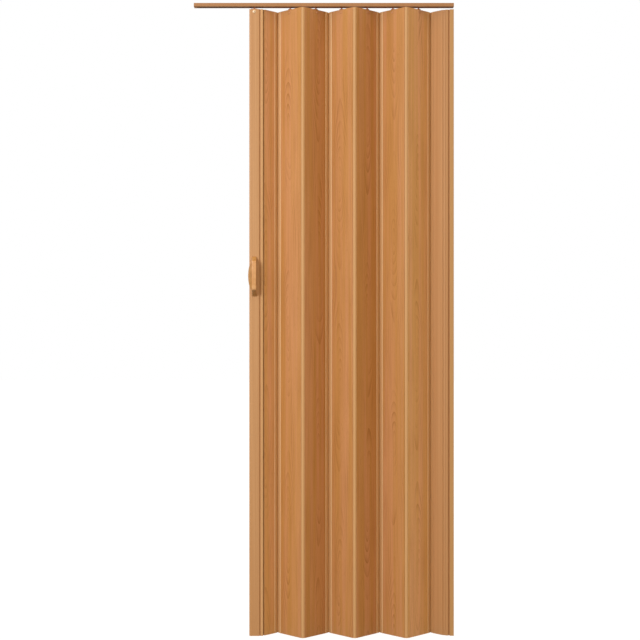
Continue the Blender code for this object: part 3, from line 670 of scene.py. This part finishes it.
def strip(name, left_turn, right_turn, reach, offset, inner_half, outer_half, crease, place, flipped,
          finish):
    """A strip bent about the fold line at (0, 0), with its inner side in front unless it is flipped."""
    left_inner, left_outer = strip_leaf(1, left_turn, reach, offset, inner_half, outer_half)
    right_inner, right_outer = strip_leaf(-1, right_turn, reach, offset, inner_half, outer_half)
    half_bend = (left_turn - right_turn) / 2
    middle = Matrix.Rotation((left_turn + right_turn) / 2, 2)
    groove = [middle @ Vector((-x, y)) for x, y in crease]
    groove += [middle @ Vector(point) for point in crease[::-1]]
    back = middle @ Vector((0, (outer_half - offset) / math.cos(half_bend)))
    small = SMALL_ROUND / 2
    corners = [(*point, small) for point in [*left_inner, *groove, *right_inner[::-1], *right_outer]]
    corners += [(*back, BACK_ROUND), *[(*point, small) for point in left_outer[::-1]]]
    turn = (0, 0, math.pi if flipped else 0)
    return extruded(name, [rounded(corners)], curtain_foot, curtain_top, finish, place, turn)


hinge_names = ["post_hinge", *[f"fold_{number}" for number in range(1, SLAT_COUNT + 2)], "wall_hinge"]
end_leaf = (END_REACH, 0, LEAF_THICKNESS / 2, LEAF_THICKNESS / 2, END_CREASE)
fold_leaf = (FOLD_REACH, -FOLD_OFFSET, FOLD_LEAF_INNER, FOLD_LEAF_OUTER, FOLD_CREASE)
for number, hinge_name in enumerate(hinge_names, start=1):
    x, y, _ = hinge_places[hinge_name]
    if hinge_name == "post_hinge":
        form = (slat_turn, 0, *end_leaf)
    elif hinge_name == "wall_hinge":
        form = (0, -slat_turn, *end_leaf)
    else:
        form = (slat_turn, -slat_turn, *fold_leaf)
    is_valley = y > FOLD_REACH
    finish = wall_strip_pvc if hinge_name == "wall_hinge" else soft_pvc
    made = strip(f"hinge_strip_{number}_look", *form, (x, y, 0), not is_valley, finish)
    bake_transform(made)
    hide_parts(f"hinge_strip_{number}")


# The lead post is a hollow extrusion in plain tan PVC that carries the handles at the free end.
# Its left edge is rounded. A grooved tongue holds the first strip, and carries a bead of soft, light
# PVC on each side, extruded with it.
BEAD_NOTCH = 0.0055
NOTCH_DEPTH = 0.0035
BEAD_WIDTH = 0.0065
BEAD_DEPTH = 0.0215
BEAD_ROUND = 0.001
POST_WIDTH = 0.0322
POST_DEPTH = 0.024
POST_WALL = 0.0018
POST_NOSE_RADIUS = 0.006
POST_WEB_INSET = 0.008
POST_PRINT = (1.3, 0.7, 0)
TONGUE_LENGTH = 0.0125
TONGUE_THICKNESS = 0.009

tongue_end = hinge_places["post_hinge"].x - END_REACH
post_shoulder = tongue_end - TONGUE_LENGTH
post_left = post_shoulder - POST_WIDTH
bead_left = post_shoulder + BEAD_NOTCH
post_front = -POST_DEPTH / 2
post_half = [
    (post_left, post_front, POST_NOSE_RADIUS),
    (post_shoulder, post_front, SLAT_ROUND),
    (post_shoulder, post_front + NOTCH_DEPTH, SMALL_ROUND),
    (bead_left, post_front + NOTCH_DEPTH, SMALL_ROUND),
    (bead_left, -BEAD_DEPTH / 2, BEAD_ROUND),
    (bead_left + BEAD_WIDTH, -BEAD_DEPTH / 2, BEAD_ROUND),
    (bead_left + BEAD_WIDTH, -TONGUE_THICKNESS / 2, SMALL_ROUND),
    *grooved_edge(tongue_end, 1, TONGUE_THICKNESS, SLAT_ROUND),
]
chamber_front = post_front + POST_WALL
post_web = post_shoulder - POST_WEB_INSET
main_chamber = [
    (post_left + POST_WALL, chamber_front, POST_NOSE_RADIUS - POST_WALL),
    (post_web - POST_WALL / 2, chamber_front, SMALL_ROUND),
]
second_front = chamber_front + POST_WALL / 2
second_chamber = [
    (post_web + POST_WALL / 2, second_front, SMALL_ROUND),
    (post_shoulder - POST_WALL, second_front, SMALL_ROUND),
]
post_outlines = [both_faces(corners) for corners in (post_half, main_chamber, second_chamber)]
lead_post = extruded("lead_post_look", post_outlines, curtain_foot, curtain_top, tan_pvc,
                     print_place=POST_PRINT)
lead_post.data.materials.clear()
lead_post.data.materials.append(tan_pvc)
lead_post.data.materials.append(soft_pvc)
for face in lead_post.data.polygons:
    x, y, _ = face.center
    past_notch = x > bead_left - SMALL_ROUND and abs(y) > POST_DEPTH / 2 - NOTCH_DEPTH
    face.material_index = 1 if past_notch and abs(face.normal.z) < END_NORMAL else 0
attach(lead_post, "lead_post")
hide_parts("lead_post")


# A bow handle is fixed to each face of the lead post, moulded in tan plastic with a satin face.
# Its grip has a flank, set back from its face, that bulges past the post's edge for the fingers.
# The face of the grip is drawn lighter, as painted light, and the rest of the handle darker, as painted
# shade.
HANDLE_INSET = 0.0165
HANDLE_MIDDLE = -0.8774
HANDLE_HALF_HEIGHT = 0.064
HANDLE_WIDTH = 0.014
HANDLE_STANDOFF = 0.03
HANDLE_ARCH = 0.003
HANDLE_ROUND = 0.0016
GRIP_THICKNESS = 0.008
GRIP_FLANK = 0.0118
FLANK_FALL = 0.006
FLANK_ROUND = 0.0008
UPPER_SLOPE = 0.015
LOWER_SLOPE = 0.021
FOOT_HEIGHT = 0.012
KNEE_BLEND = 0.004
LEG_STEPS = 6
GRIP_STEPS = 28
HANDLE_SCREW_INSET = 0.0082
HANDLE_SCREW_HEAD_RADIUS = 0.0036
HANDLE_SCREW_SEAT = 0.0035
# Painted shade: the handle's darker tan. Painted light: the lighter tan of the grip's face
SHADED_HANDLE_TAN = "#BE8C4C"
SHADED_HANDLE_TAN_DEEP = "#B37F40"
LIT_GRIP_TAN = "#E0AA70"
LIT_GRIP_TAN_DEEP = "#D59A5C"
LIT_GRIP_POINTS = 2 * (ROUND_STEPS + 1)
ABS_IOR = 1.53
ABS_ROUGHNESS = 0.4
CLOUD_MM = 16.667
CLOUD_FADE = (0.35, 0.65)
MOULD_GRIT_MM = 0.4
GRIT_BUMP = 0.2
GRIT_DEPTH = 0.00008


def moulded_abs(name, light, deep):
    """ABS with a faint cloudy tone, and a satin face from the spark-eroded mould.

    The mould's real grit is about 0.1 mm. It is drawn coarser, so that it shows.
    """
    made, tree, shader = blank_finish(name)
    place = add(tree, "ShaderNodeTexCoord").outputs["Object"]
    cloud = add(tree, "ShaderNodeTexNoise", Vector=place, Scale=1000 / CLOUD_MM, Detail=2.0)
    share = add(tree, "ShaderNodeMapRange", Value=cloud.outputs["Fac"], From_Min=CLOUD_FADE[0],
                From_Max=CLOUD_FADE[1])
    colour = add(tree, "ShaderNodeMix", {"data_type": "RGBA"}, Factor=share.outputs[0], i6=linear(deep),
                 i7=linear(light))
    grit = add(tree, "ShaderNodeTexNoise", Vector=place, Scale=1000 / MOULD_GRIT_MM, Detail=1.0)
    relief = add(tree, "ShaderNodeBump", Height=grit.outputs["Fac"], Strength=GRIT_BUMP, Distance=GRIT_DEPTH)
    feed(shader, Base_Color=colour.outputs[2], Roughness=ABS_ROUGHNESS, Normal=relief.outputs[0],
         IOR=ABS_IOR)
    return made


# Painted light and shade: the grip's face has the lighter finish, and the flank, legs and inside have the
# darker one
shaded_handle_plastic = moulded_abs("moulded ABS, tan, painted shade", SHADED_HANDLE_TAN, SHADED_HANDLE_TAN_DEEP)
lit_grip_plastic = moulded_abs("moulded ABS, tan, painted light", LIT_GRIP_TAN, LIT_GRIP_TAN_DEEP)


def soft_least(first, second):
    """The smaller of two values, with the change between them rounded off."""
    near = max(KNEE_BLEND - abs(first - second), 0) / KNEE_BLEND
    return min(first, second) - near * near * KNEE_BLEND / 4


def bow_side(height, top, bottom, upper, lower, shoulder):
    """Standoff of the bow's outer or inner side at a height. It runs straight from the foot to the knee."""
    share = (top - upper - height) / (top - upper - bottom - lower)
    arch = shoulder + HANDLE_ARCH * math.sin(math.pi * min(max(share, 0), 1))
    upper_leg = (top - height) * shoulder / upper
    lower_leg = (height - bottom) * shoulder / lower
    return max(soft_least(soft_least(arch, upper_leg), lower_leg), 0)


def bow_heights(top, bottom, upper, lower):
    """Heights along one side of the bow, closest together at the ends of the grip."""
    high, low = top - upper, bottom + lower
    heights = [top - upper * step / LEG_STEPS for step in range(LEG_STEPS)]
    turns = [math.pi * step / GRIP_STEPS for step in range(GRIP_STEPS + 1)]
    heights += [(high + low) / 2 + (high - low) / 2 * math.cos(turn) for turn in turns]
    heights += [low - lower * step / LEG_STEPS for step in range(1, LEG_STEPS + 1)]
    return heights


def corner_arc(centre, radius, first_turn):
    """Points of a quarter circle from a first turn in degrees."""
    turns = [math.radians(first_turn + 90 * step / ROUND_STEPS) for step in range(ROUND_STEPS + 1)]
    return [(centre[0] + radius * math.cos(turn), centre[1] + radius * math.sin(turn)) for turn in turns]


def bow_section(thickness, flank):
    """Section of the bow as (width, depth) points. Depth runs from 0 inside to the thickness outside."""
    right, ridge = HANDLE_WIDTH / 2, -HANDLE_WIDTH / 2
    left, edge = ridge - flank, thickness - FLANK_FALL
    outer_corner = min(FLANK_ROUND, flank)
    inner_corner = HANDLE_ROUND + (FLANK_ROUND - HANDLE_ROUND) * flank / GRIP_FLANK
    points = corner_arc((right - HANDLE_ROUND, thickness - HANDLE_ROUND), HANDLE_ROUND, 0)
    points += corner_arc((ridge + HANDLE_ROUND, thickness - HANDLE_ROUND), HANDLE_ROUND, 90)
    points.append((ridge, edge))
    points += corner_arc((left + outer_corner, edge - outer_corner), outer_corner, 90)
    points += corner_arc((left + inner_corner, inner_corner), inner_corner, 180)
    points += corner_arc((right - HANDLE_ROUND, HANDLE_ROUND), HANDLE_ROUND, 270)
    return points


def bow_handle(name, side):
    """The bow at the front (side 1) or the back (side -1) of the lead post."""
    top, bottom = HANDLE_HALF_HEIGHT, -HANDLE_HALF_HEIGHT
    inner_top, inner_bottom = top - FOOT_HEIGHT, bottom + FOOT_HEIGHT
    shoulder = HANDLE_STANDOFF - HANDLE_ARCH
    outer_heights = bow_heights(top, bottom, UPPER_SLOPE, LOWER_SLOPE)
    inner_heights = bow_heights(inner_top, inner_bottom, UPPER_SLOPE / 2, LOWER_SLOPE / 2)
    middle = (LOWER_SLOPE - UPPER_SLOPE) / 2
    reach = HANDLE_HALF_HEIGHT - (UPPER_SLOPE + LOWER_SLOPE) / 2
    work = bmesh.new()
    rings = []
    for outer_height, inner_height in zip(outer_heights, inner_heights):
        outer_side = bow_side(outer_height, top, bottom, UPPER_SLOPE, LOWER_SLOPE, shoulder)
        inner_side = bow_side(inner_height, inner_top, inner_bottom, UPPER_SLOPE / 2, LOWER_SLOPE / 2,
                              shoulder - GRIP_THICKNESS)
        inner = Vector((inner_side, inner_height))
        through = Vector((outer_side, outer_height)) - inner
        share = min(abs(outer_height - middle) / reach, 1)
        flank = GRIP_FLANK * math.sqrt(1 - share * share)
        ring = []
        for width, depth in bow_section(through.length, flank):
            standoff, height = inner + through.normalized() * depth
            standoff = max(standoff, 0)
            place = (handle_x + width, -side * (post_face + standoff), HANDLE_MIDDLE + height)
            ring.append(work.verts.new(place))
        rings.append(ring)
    for step, (lower, upper) in enumerate(zip(rings, rings[1:])):
        is_grip = LEG_STEPS <= step < LEG_STEPS + GRIP_STEPS
        for index in range(len(lower)):
            following = (index + 1) % len(lower)
            face = work.faces.new((lower[index], lower[following], upper[following], upper[index]))
            # Painted light on the grip's face, between its two front corners
            face.material_index = 1 if is_grip and index < LIT_GRIP_POINTS else 0
    work.faces.new(rings[0])
    work.faces.new(rings[-1][::-1])
    bmesh.ops.recalc_face_normals(work, faces=work.faces)
    mesh = bpy.data.meshes.new(name)
    work.to_mesh(mesh)
    work.free()
    mesh.materials.append(shaded_handle_plastic)
    mesh.materials.append(lit_grip_plastic)
    mesh.shade_smooth()
    mesh.set_sharp_from_angle(angle=SHARP_ANGLE)
    made = bpy.data.objects.new(name, mesh)
    bpy.context.scene.collection.objects.link(made)
    return made


handle_x = post_left + HANDLE_INSET
post_face = POST_DEPTH / 2 + FIT_GAP
screw_reach = HANDLE_HALF_HEIGHT - HANDLE_SCREW_INSET
screw_heights = {"upper": HANDLE_MIDDLE + screw_reach, "lower": HANDLE_MIDDLE - screw_reach}
front_handle = bow_handle("front_handle_look", 1)
rear_handle = bow_handle("rear_handle_look", -1)
# The screws are driven from the rear, so the rear handle has a recess down to the seat of each head
recess_reach = HANDLE_STANDOFF
recess_middle = post_face + HANDLE_SCREW_SEAT + recess_reach
recesses = [(handle_x, recess_middle, height) for height in screw_heights.values()]
drilled(rear_handle, recesses, HANDLE_SCREW_HEAD_RADIUS + FIT_GAP, (0, 1, 0), recess_reach)
for made in (front_handle, rear_handle):
    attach(made, "lead_post")
    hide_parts(made.name.replace("_look", ""))


# Domed screws, headed from steel wire, and moulded rivets. Two zinc plated screws pass through the post
# and hold both handles, a lacquered one holds the post's hanger, and a brown plastic rivet holds each
# slat's hanger.
HANDLE_SCREW_RADIUS = 0.002
HANDLE_SCREW_HEAD_HEIGHT = 0.002
HANDLE_SCREW_BITE = 0.006
HANDLE_SCREW_SLOT = 0.0008
LEAD_PIN_INSET = 0.0161
LEAD_SCREW_DROP = 0.0078
LEAD_SCREW_RADIUS = 0.002
LEAD_SCREW_BITE = 0.014
LEAD_SCREW_HEAD_RADIUS = 0.0055
LEAD_SCREW_HEAD_HEIGHT = 0.0026
LEAD_SCREW_SLOT = 0.0011
RIVET_DROP = 0.009
RIVET_RADIUS = 0.0016
RIVET_BITE = 0.0035
RIVET_HEAD_RADIUS = 0.004
RIVET_HEAD_HEIGHT = 0.0014
HEAD_SEGMENTS = 32
HEAD_RINGS = 16
SHANK_SIDES = 24
SHANK_DROP_SHARE = 0.499
SLOT_LENGTH_SHARE = 1.1
SLOT_DEPTH_SHARE = 1.2
SCREW_TAN = "#F9DFBA"
SCREW_TAN_DEEP = "#EFD0A2"
ZINC = "#C9CACC"
ZINC_DEEP = "#B4B5B8"
RIVET_BROWN = "#CE9160"
RIVET_BROWN_DEEP = "#BE8150"
HANGER_BROWN = "#AE6B44"
HANGER_BROWN_DEEP = "#9A5A36"
SPECKLE_BUMP = 0.15
SPECKLE_DEPTH = 0.00005
SPECKLE_GLOSS = 0.06

fastener_tree, given = begin_tree("domed fastener", Head_radius="Float", Head_height="Float",
                                  Shank_radius="Float", Shank_length="Float", Slot_width="Float",
                                  Place="Vector", Turn="Rotation", Finish="Material")
tree = fastener_tree
ball = add(tree, "GeometryNodeMeshUVSphere", Segments=HEAD_SEGMENTS, Rings=HEAD_RINGS, Radius=1.0)
head_size = add(tree, "ShaderNodeCombineXYZ", X=given["Head radius"], Y=given["Head radius"],
                Z=given["Head height"])
domed = add(tree, "GeometryNodeTransform", Geometry=ball.outputs["Mesh"], Scale=head_size.outputs[0])
# The ball's lower half is pressed flat, which gives the head its flat underside
here = add(tree, "GeometryNodeInputPosition")
parts = add(tree, "ShaderNodeSeparateXYZ", Vector=here.outputs[0])
above = add(tree, "ShaderNodeMath", {"operation": "MAXIMUM"}, i0=parts.outputs["Z"], i1=0.0)
pressed_place = add(tree, "ShaderNodeCombineXYZ", X=parts.outputs["X"], Y=parts.outputs["Y"],
                    Z=above.outputs[0])
head = add(tree, "GeometryNodeSetPosition", Geometry=domed.outputs[0], Position=pressed_place.outputs[0])
# The shank drops by a little less than half its length, so that it reaches into the head
shank_rod = add(tree, "GeometryNodeMeshCylinder", Vertices=SHANK_SIDES, Radius=given["Shank radius"],
                Depth=given["Shank length"])
half_length = add(tree, "ShaderNodeMath", {"operation": "MULTIPLY"}, i0=given["Shank length"],
                  i1=-SHANK_DROP_SHARE)
shank_drop = add(tree, "ShaderNodeCombineXYZ", Z=half_length.outputs[0])
shank = add(tree, "GeometryNodeTransform", Geometry=shank_rod.outputs["Mesh"],
            Translation=shank_drop.outputs[0])
whole = add(tree, "GeometryNodeMeshBoolean", {"operation": "UNION"}, i1=head.outputs[0])
tree.links.new(shank.outputs[0], whole.inputs[1])
# A cross of two bars cuts the recess, unless the slot's width is zero
slot_length = add(tree, "ShaderNodeMath", {"operation": "MULTIPLY"}, i0=given["Head radius"],
                  i1=SLOT_LENGTH_SHARE)
slot_depth = add(tree, "ShaderNodeMath", {"operation": "MULTIPLY"}, i0=given["Head height"],
                 i1=SLOT_DEPTH_SHARE)
bar_size = add(tree, "ShaderNodeCombineXYZ", X=slot_length.outputs[0], Y=given["Slot width"],
               Z=slot_depth.outputs[0])
bar = add(tree, "GeometryNodeMeshCube", Size=bar_size.outputs[0])
cross_size = add(tree, "ShaderNodeCombineXYZ", X=given["Slot width"], Y=slot_length.outputs[0],
                 Z=slot_depth.outputs[0])
cross_bar = add(tree, "GeometryNodeMeshCube", Size=cross_size.outputs[0])
cross = add(tree, "GeometryNodeMeshBoolean", {"operation": "UNION"}, i1=bar.outputs["Mesh"])
tree.links.new(cross_bar.outputs["Mesh"], cross.inputs[1])
cross_lift = add(tree, "ShaderNodeCombineXYZ", Z=given["Head height"])
lifted = add(tree, "GeometryNodeTransform", Geometry=cross.outputs["Mesh"],
             Translation=cross_lift.outputs[0])
recessed = add(tree, "GeometryNodeMeshBoolean", {"operation": "DIFFERENCE"}, i0=whole.outputs["Mesh"],
               i1=lifted.outputs[0])
has_recess = add(tree, "FunctionNodeCompare", {"operation": "GREATER_THAN"}, i0=given["Slot width"], i1=0.0)
chosen = add(tree, "GeometryNodeSwitch", {"input_type": "GEOMETRY"}, Switch=has_recess.outputs[0],
             i1=whole.outputs["Mesh"], i2=recessed.outputs["Mesh"])
end_tree(tree, given, chosen.outputs[0])


def speckled(name, light, deep, roughness, metallic, speckle_mm):
    """A moulded, lacquered or plated surface with a fine uneven tone, drawn coarse enough to show."""
    made, tree, shader = blank_finish(name)
    place = add(tree, "ShaderNodeTexCoord").outputs["Object"]
    speckles = add(tree, "ShaderNodeTexNoise", Vector=place, Scale=1000 / speckle_mm, Detail=2.0)
    share = add(tree, "ShaderNodeMapRange", Value=speckles.outputs["Fac"], From_Min=CLOUD_FADE[0],
                From_Max=CLOUD_FADE[1])
    colour = add(tree, "ShaderNodeMix", {"data_type": "RGBA"}, Factor=share.outputs[0], i6=linear(deep),
                 i7=linear(light))
    satin = add(tree, "ShaderNodeMapRange", Value=speckles.outputs["Fac"],
                To_Min=roughness - SPECKLE_GLOSS, To_Max=roughness + SPECKLE_GLOSS)
    relief = add(tree, "ShaderNodeBump", Height=speckles.outputs["Fac"], Strength=SPECKLE_BUMP,
                 Distance=SPECKLE_DEPTH)
    feed(shader, Base_Color=colour.outputs[2], Roughness=satin.outputs[0], Normal=relief.outputs[0],
         Metallic=metallic)
    return made


# Polyacetal is dense and waxy, so it has an even tone and a soft gloss
moulded_brown = speckled("moulded polyacetal, reddish brown", HANGER_BROWN, HANGER_BROWN_DEEP,
                         roughness=0.42, metallic=0, speckle_mm=0.9)
rivet_plastic = speckled("moulded polyacetal, light brown", RIVET_BROWN, RIVET_BROWN_DEEP,
                         roughness=0.42, metallic=0, speckle_mm=0.9)
# Baked lacquer is pale and smooth, and glossier than the plastic round it
lacquer = speckled("lacquered steel screw, tan", SCREW_TAN, SCREW_TAN_DEEP, roughness=0.18, metallic=0,
                   speckle_mm=0.8)
# Zinc plating is a cool grey metal with a faint mottle
zinc = speckled("zinc plated steel", ZINC, ZINC_DEEP, roughness=0.32, metallic=1, speckle_mm=0.5)


def fastener(name, head_radius, head_height, radius, bite, slot, place, turn, finish, body):
    """A domed screw or rivet, which stands for the CAD node of the same name."""
    made = shape(f"{name}_look", fastener_tree, Head_radius=head_radius, Head_height=head_height,
                 Shank_radius=radius, Shank_length=bite, Slot_width=slot, Place=place, Turn=turn,
                 Finish=finish)
    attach(made, body)
    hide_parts(name)


forward = math.radians(90)
rivet_seat = -SLAT_THICKNESS / 2 - FIT_GAP
for number in range(1, SLAT_COUNT + 1):
    turn = -slat_turn if number % 2 else slat_turn
    centre_x = hinge_places[f"glider_swivel_{number}"].x
    place = (centre_x - rivet_seat * math.sin(turn), rivet_seat * math.cos(turn), curtain_top - RIVET_DROP)
    fastener(f"hanger_rivet_{number}", RIVET_HEAD_RADIUS, RIVET_HEAD_HEIGHT, RIVET_RADIUS, RIVET_BITE,
             slot=0.0, place=place, turn=(forward, 0, turn), finish=rivet_plastic, body=f"slat_{number}")
lead_screw_place = (post_left + LEAD_PIN_INSET, -post_face, curtain_top - LEAD_SCREW_DROP)
fastener("lead_hanger_screw", LEAD_SCREW_HEAD_RADIUS, LEAD_SCREW_HEAD_HEIGHT, LEAD_SCREW_RADIUS,
         LEAD_SCREW_BITE, slot=LEAD_SCREW_SLOT, place=lead_screw_place, turn=(forward, 0, 0),
         finish=lacquer, body="lead_post")
screw_seat = post_face + HANDLE_SCREW_SEAT + FIT_GAP
screw_bite = HANDLE_SCREW_SEAT + POST_DEPTH + 2 * FIT_GAP + HANDLE_SCREW_BITE
for label, height in screw_heights.items():
    fastener(f"handle_screw_{label}", HANDLE_SCREW_HEAD_RADIUS, HANDLE_SCREW_HEAD_HEIGHT,
             HANDLE_SCREW_RADIUS, screw_bite, slot=HANDLE_SCREW_SLOT, place=(handle_x, screw_seat, height),
             turn=(-forward, 0, 0), finish=zinc, body="lead_post")


# The hangers and their gliders are moulded in reddish brown polyacetal, which slides without oil.
# Each slat's hanger is pushed into the middle chamber, and its headed pin turns in the glider. They keep
# the frame's own meshes, because hardly more than the hangers' necks can be seen.
hanger_names = [f"hanger_{number}" for number in range(1, SLAT_COUNT + 1)] + ["lead_hanger"]
glider_names = [f"glider_{number}" for number in range(1, SLAT_COUNT + 1)] + ["lead_glider"]
for name in hanger_names + glider_names:
    frame["nodes"][name].data.materials.clear()
    frame["nodes"][name].data.materials.append(moulded_brown)


# The jamb channel is a tan PVC extrusion that is screwed to the jamb through three holes.
# The end post is a hollow extrusion with a grooved tongue on a narrow neck. It slides into the channel
# and ends the curtain.
JAMB_LENGTH = 0.013
JAMB_DEPTH = 0.018
JAMB_WALL = 0.0015
JAMB_HOLE_RADIUS = 0.0022
JAMB_HOLE_INSET = 0.15
JAMB_SCREW_ROOM = 0.003
END_POST_WALL = 0.0012
END_NOTCH = 0.0045
END_NECK = 0.0024
END_POST_PRINT = (2.6, 0.2, 0)
JAMB_TAN = "#CDA06B"
JAMB_TAN_DEEP = "#C09058"

# The thin channel leaves its die smoother than the slats, so it is a little glossier
jamb_pvc = streaky("extruded PVC, light tan", JAMB_TAN, JAMB_TAN_DEEP, across_mm=2.2, along_mm=600,
                   contrast=0.3, roughness=0.38)
jamb_right = RAIL_LENGTH / 2
jamb_left = jamb_right - JAMB_LENGTH
channel_floor = jamb_right - JAMB_WALL
channel_inner = JAMB_DEPTH / 2 - JAMB_WALL
channel = [
    (channel_floor, -channel_inner, SMALL_ROUND),
    (jamb_left, -channel_inner, SMALL_ROUND),
    (jamb_left, -JAMB_DEPTH / 2, SLAT_ROUND),
    (jamb_right, -JAMB_DEPTH / 2, SLAT_ROUND),
]
jamb = extruded("jamb_channel_look", [both_faces(channel)], curtain_foot, curtain_top, jamb_pvc)
jamb_hole_heights = [
    curtain_top - JAMB_HOLE_INSET, (curtain_top + curtain_foot) / 2, curtain_foot + JAMB_HOLE_INSET,
]
jamb_holes = [(jamb_right, 0, height) for height in jamb_hole_heights]
drilled(jamb, jamb_holes, JAMB_HOLE_RADIUS, (1, 0, 0), 2 * JAMB_WALL)
end_tongue = hinge_places["wall_hinge"].x + END_REACH
end_side = channel_inner - FIT_GAP
end_right = channel_floor - JAMB_SCREW_ROOM
end_half = grooved_edge(end_tongue, -1, TONGUE_THICKNESS, SLAT_ROUND)[::-1] + [
    (jamb_left - END_NOTCH, -TONGUE_THICKNESS / 2, SMALL_ROUND),
    (jamb_left - END_NOTCH, -END_NECK / 2, SMALL_ROUND),
    (jamb_left, -END_NECK / 2, SMALL_ROUND),
    (jamb_left, -end_side, SMALL_ROUND),
    (end_right, -end_side, SLAT_ROUND),
]
end_chamber = [
    (jamb_left + END_POST_WALL, END_POST_WALL - end_side, SMALL_ROUND),
    (end_right - END_POST_WALL, END_POST_WALL - end_side, SMALL_ROUND),
]
end_post = extruded("end_post_look", [both_faces(end_half), both_faces(end_chamber)], curtain_foot,
                    curtain_top, tan_pvc, print_place=END_POST_PRINT)
for made in (jamb, end_post):
    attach(made, "root")
    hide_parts(made.name.replace("_look", ""))
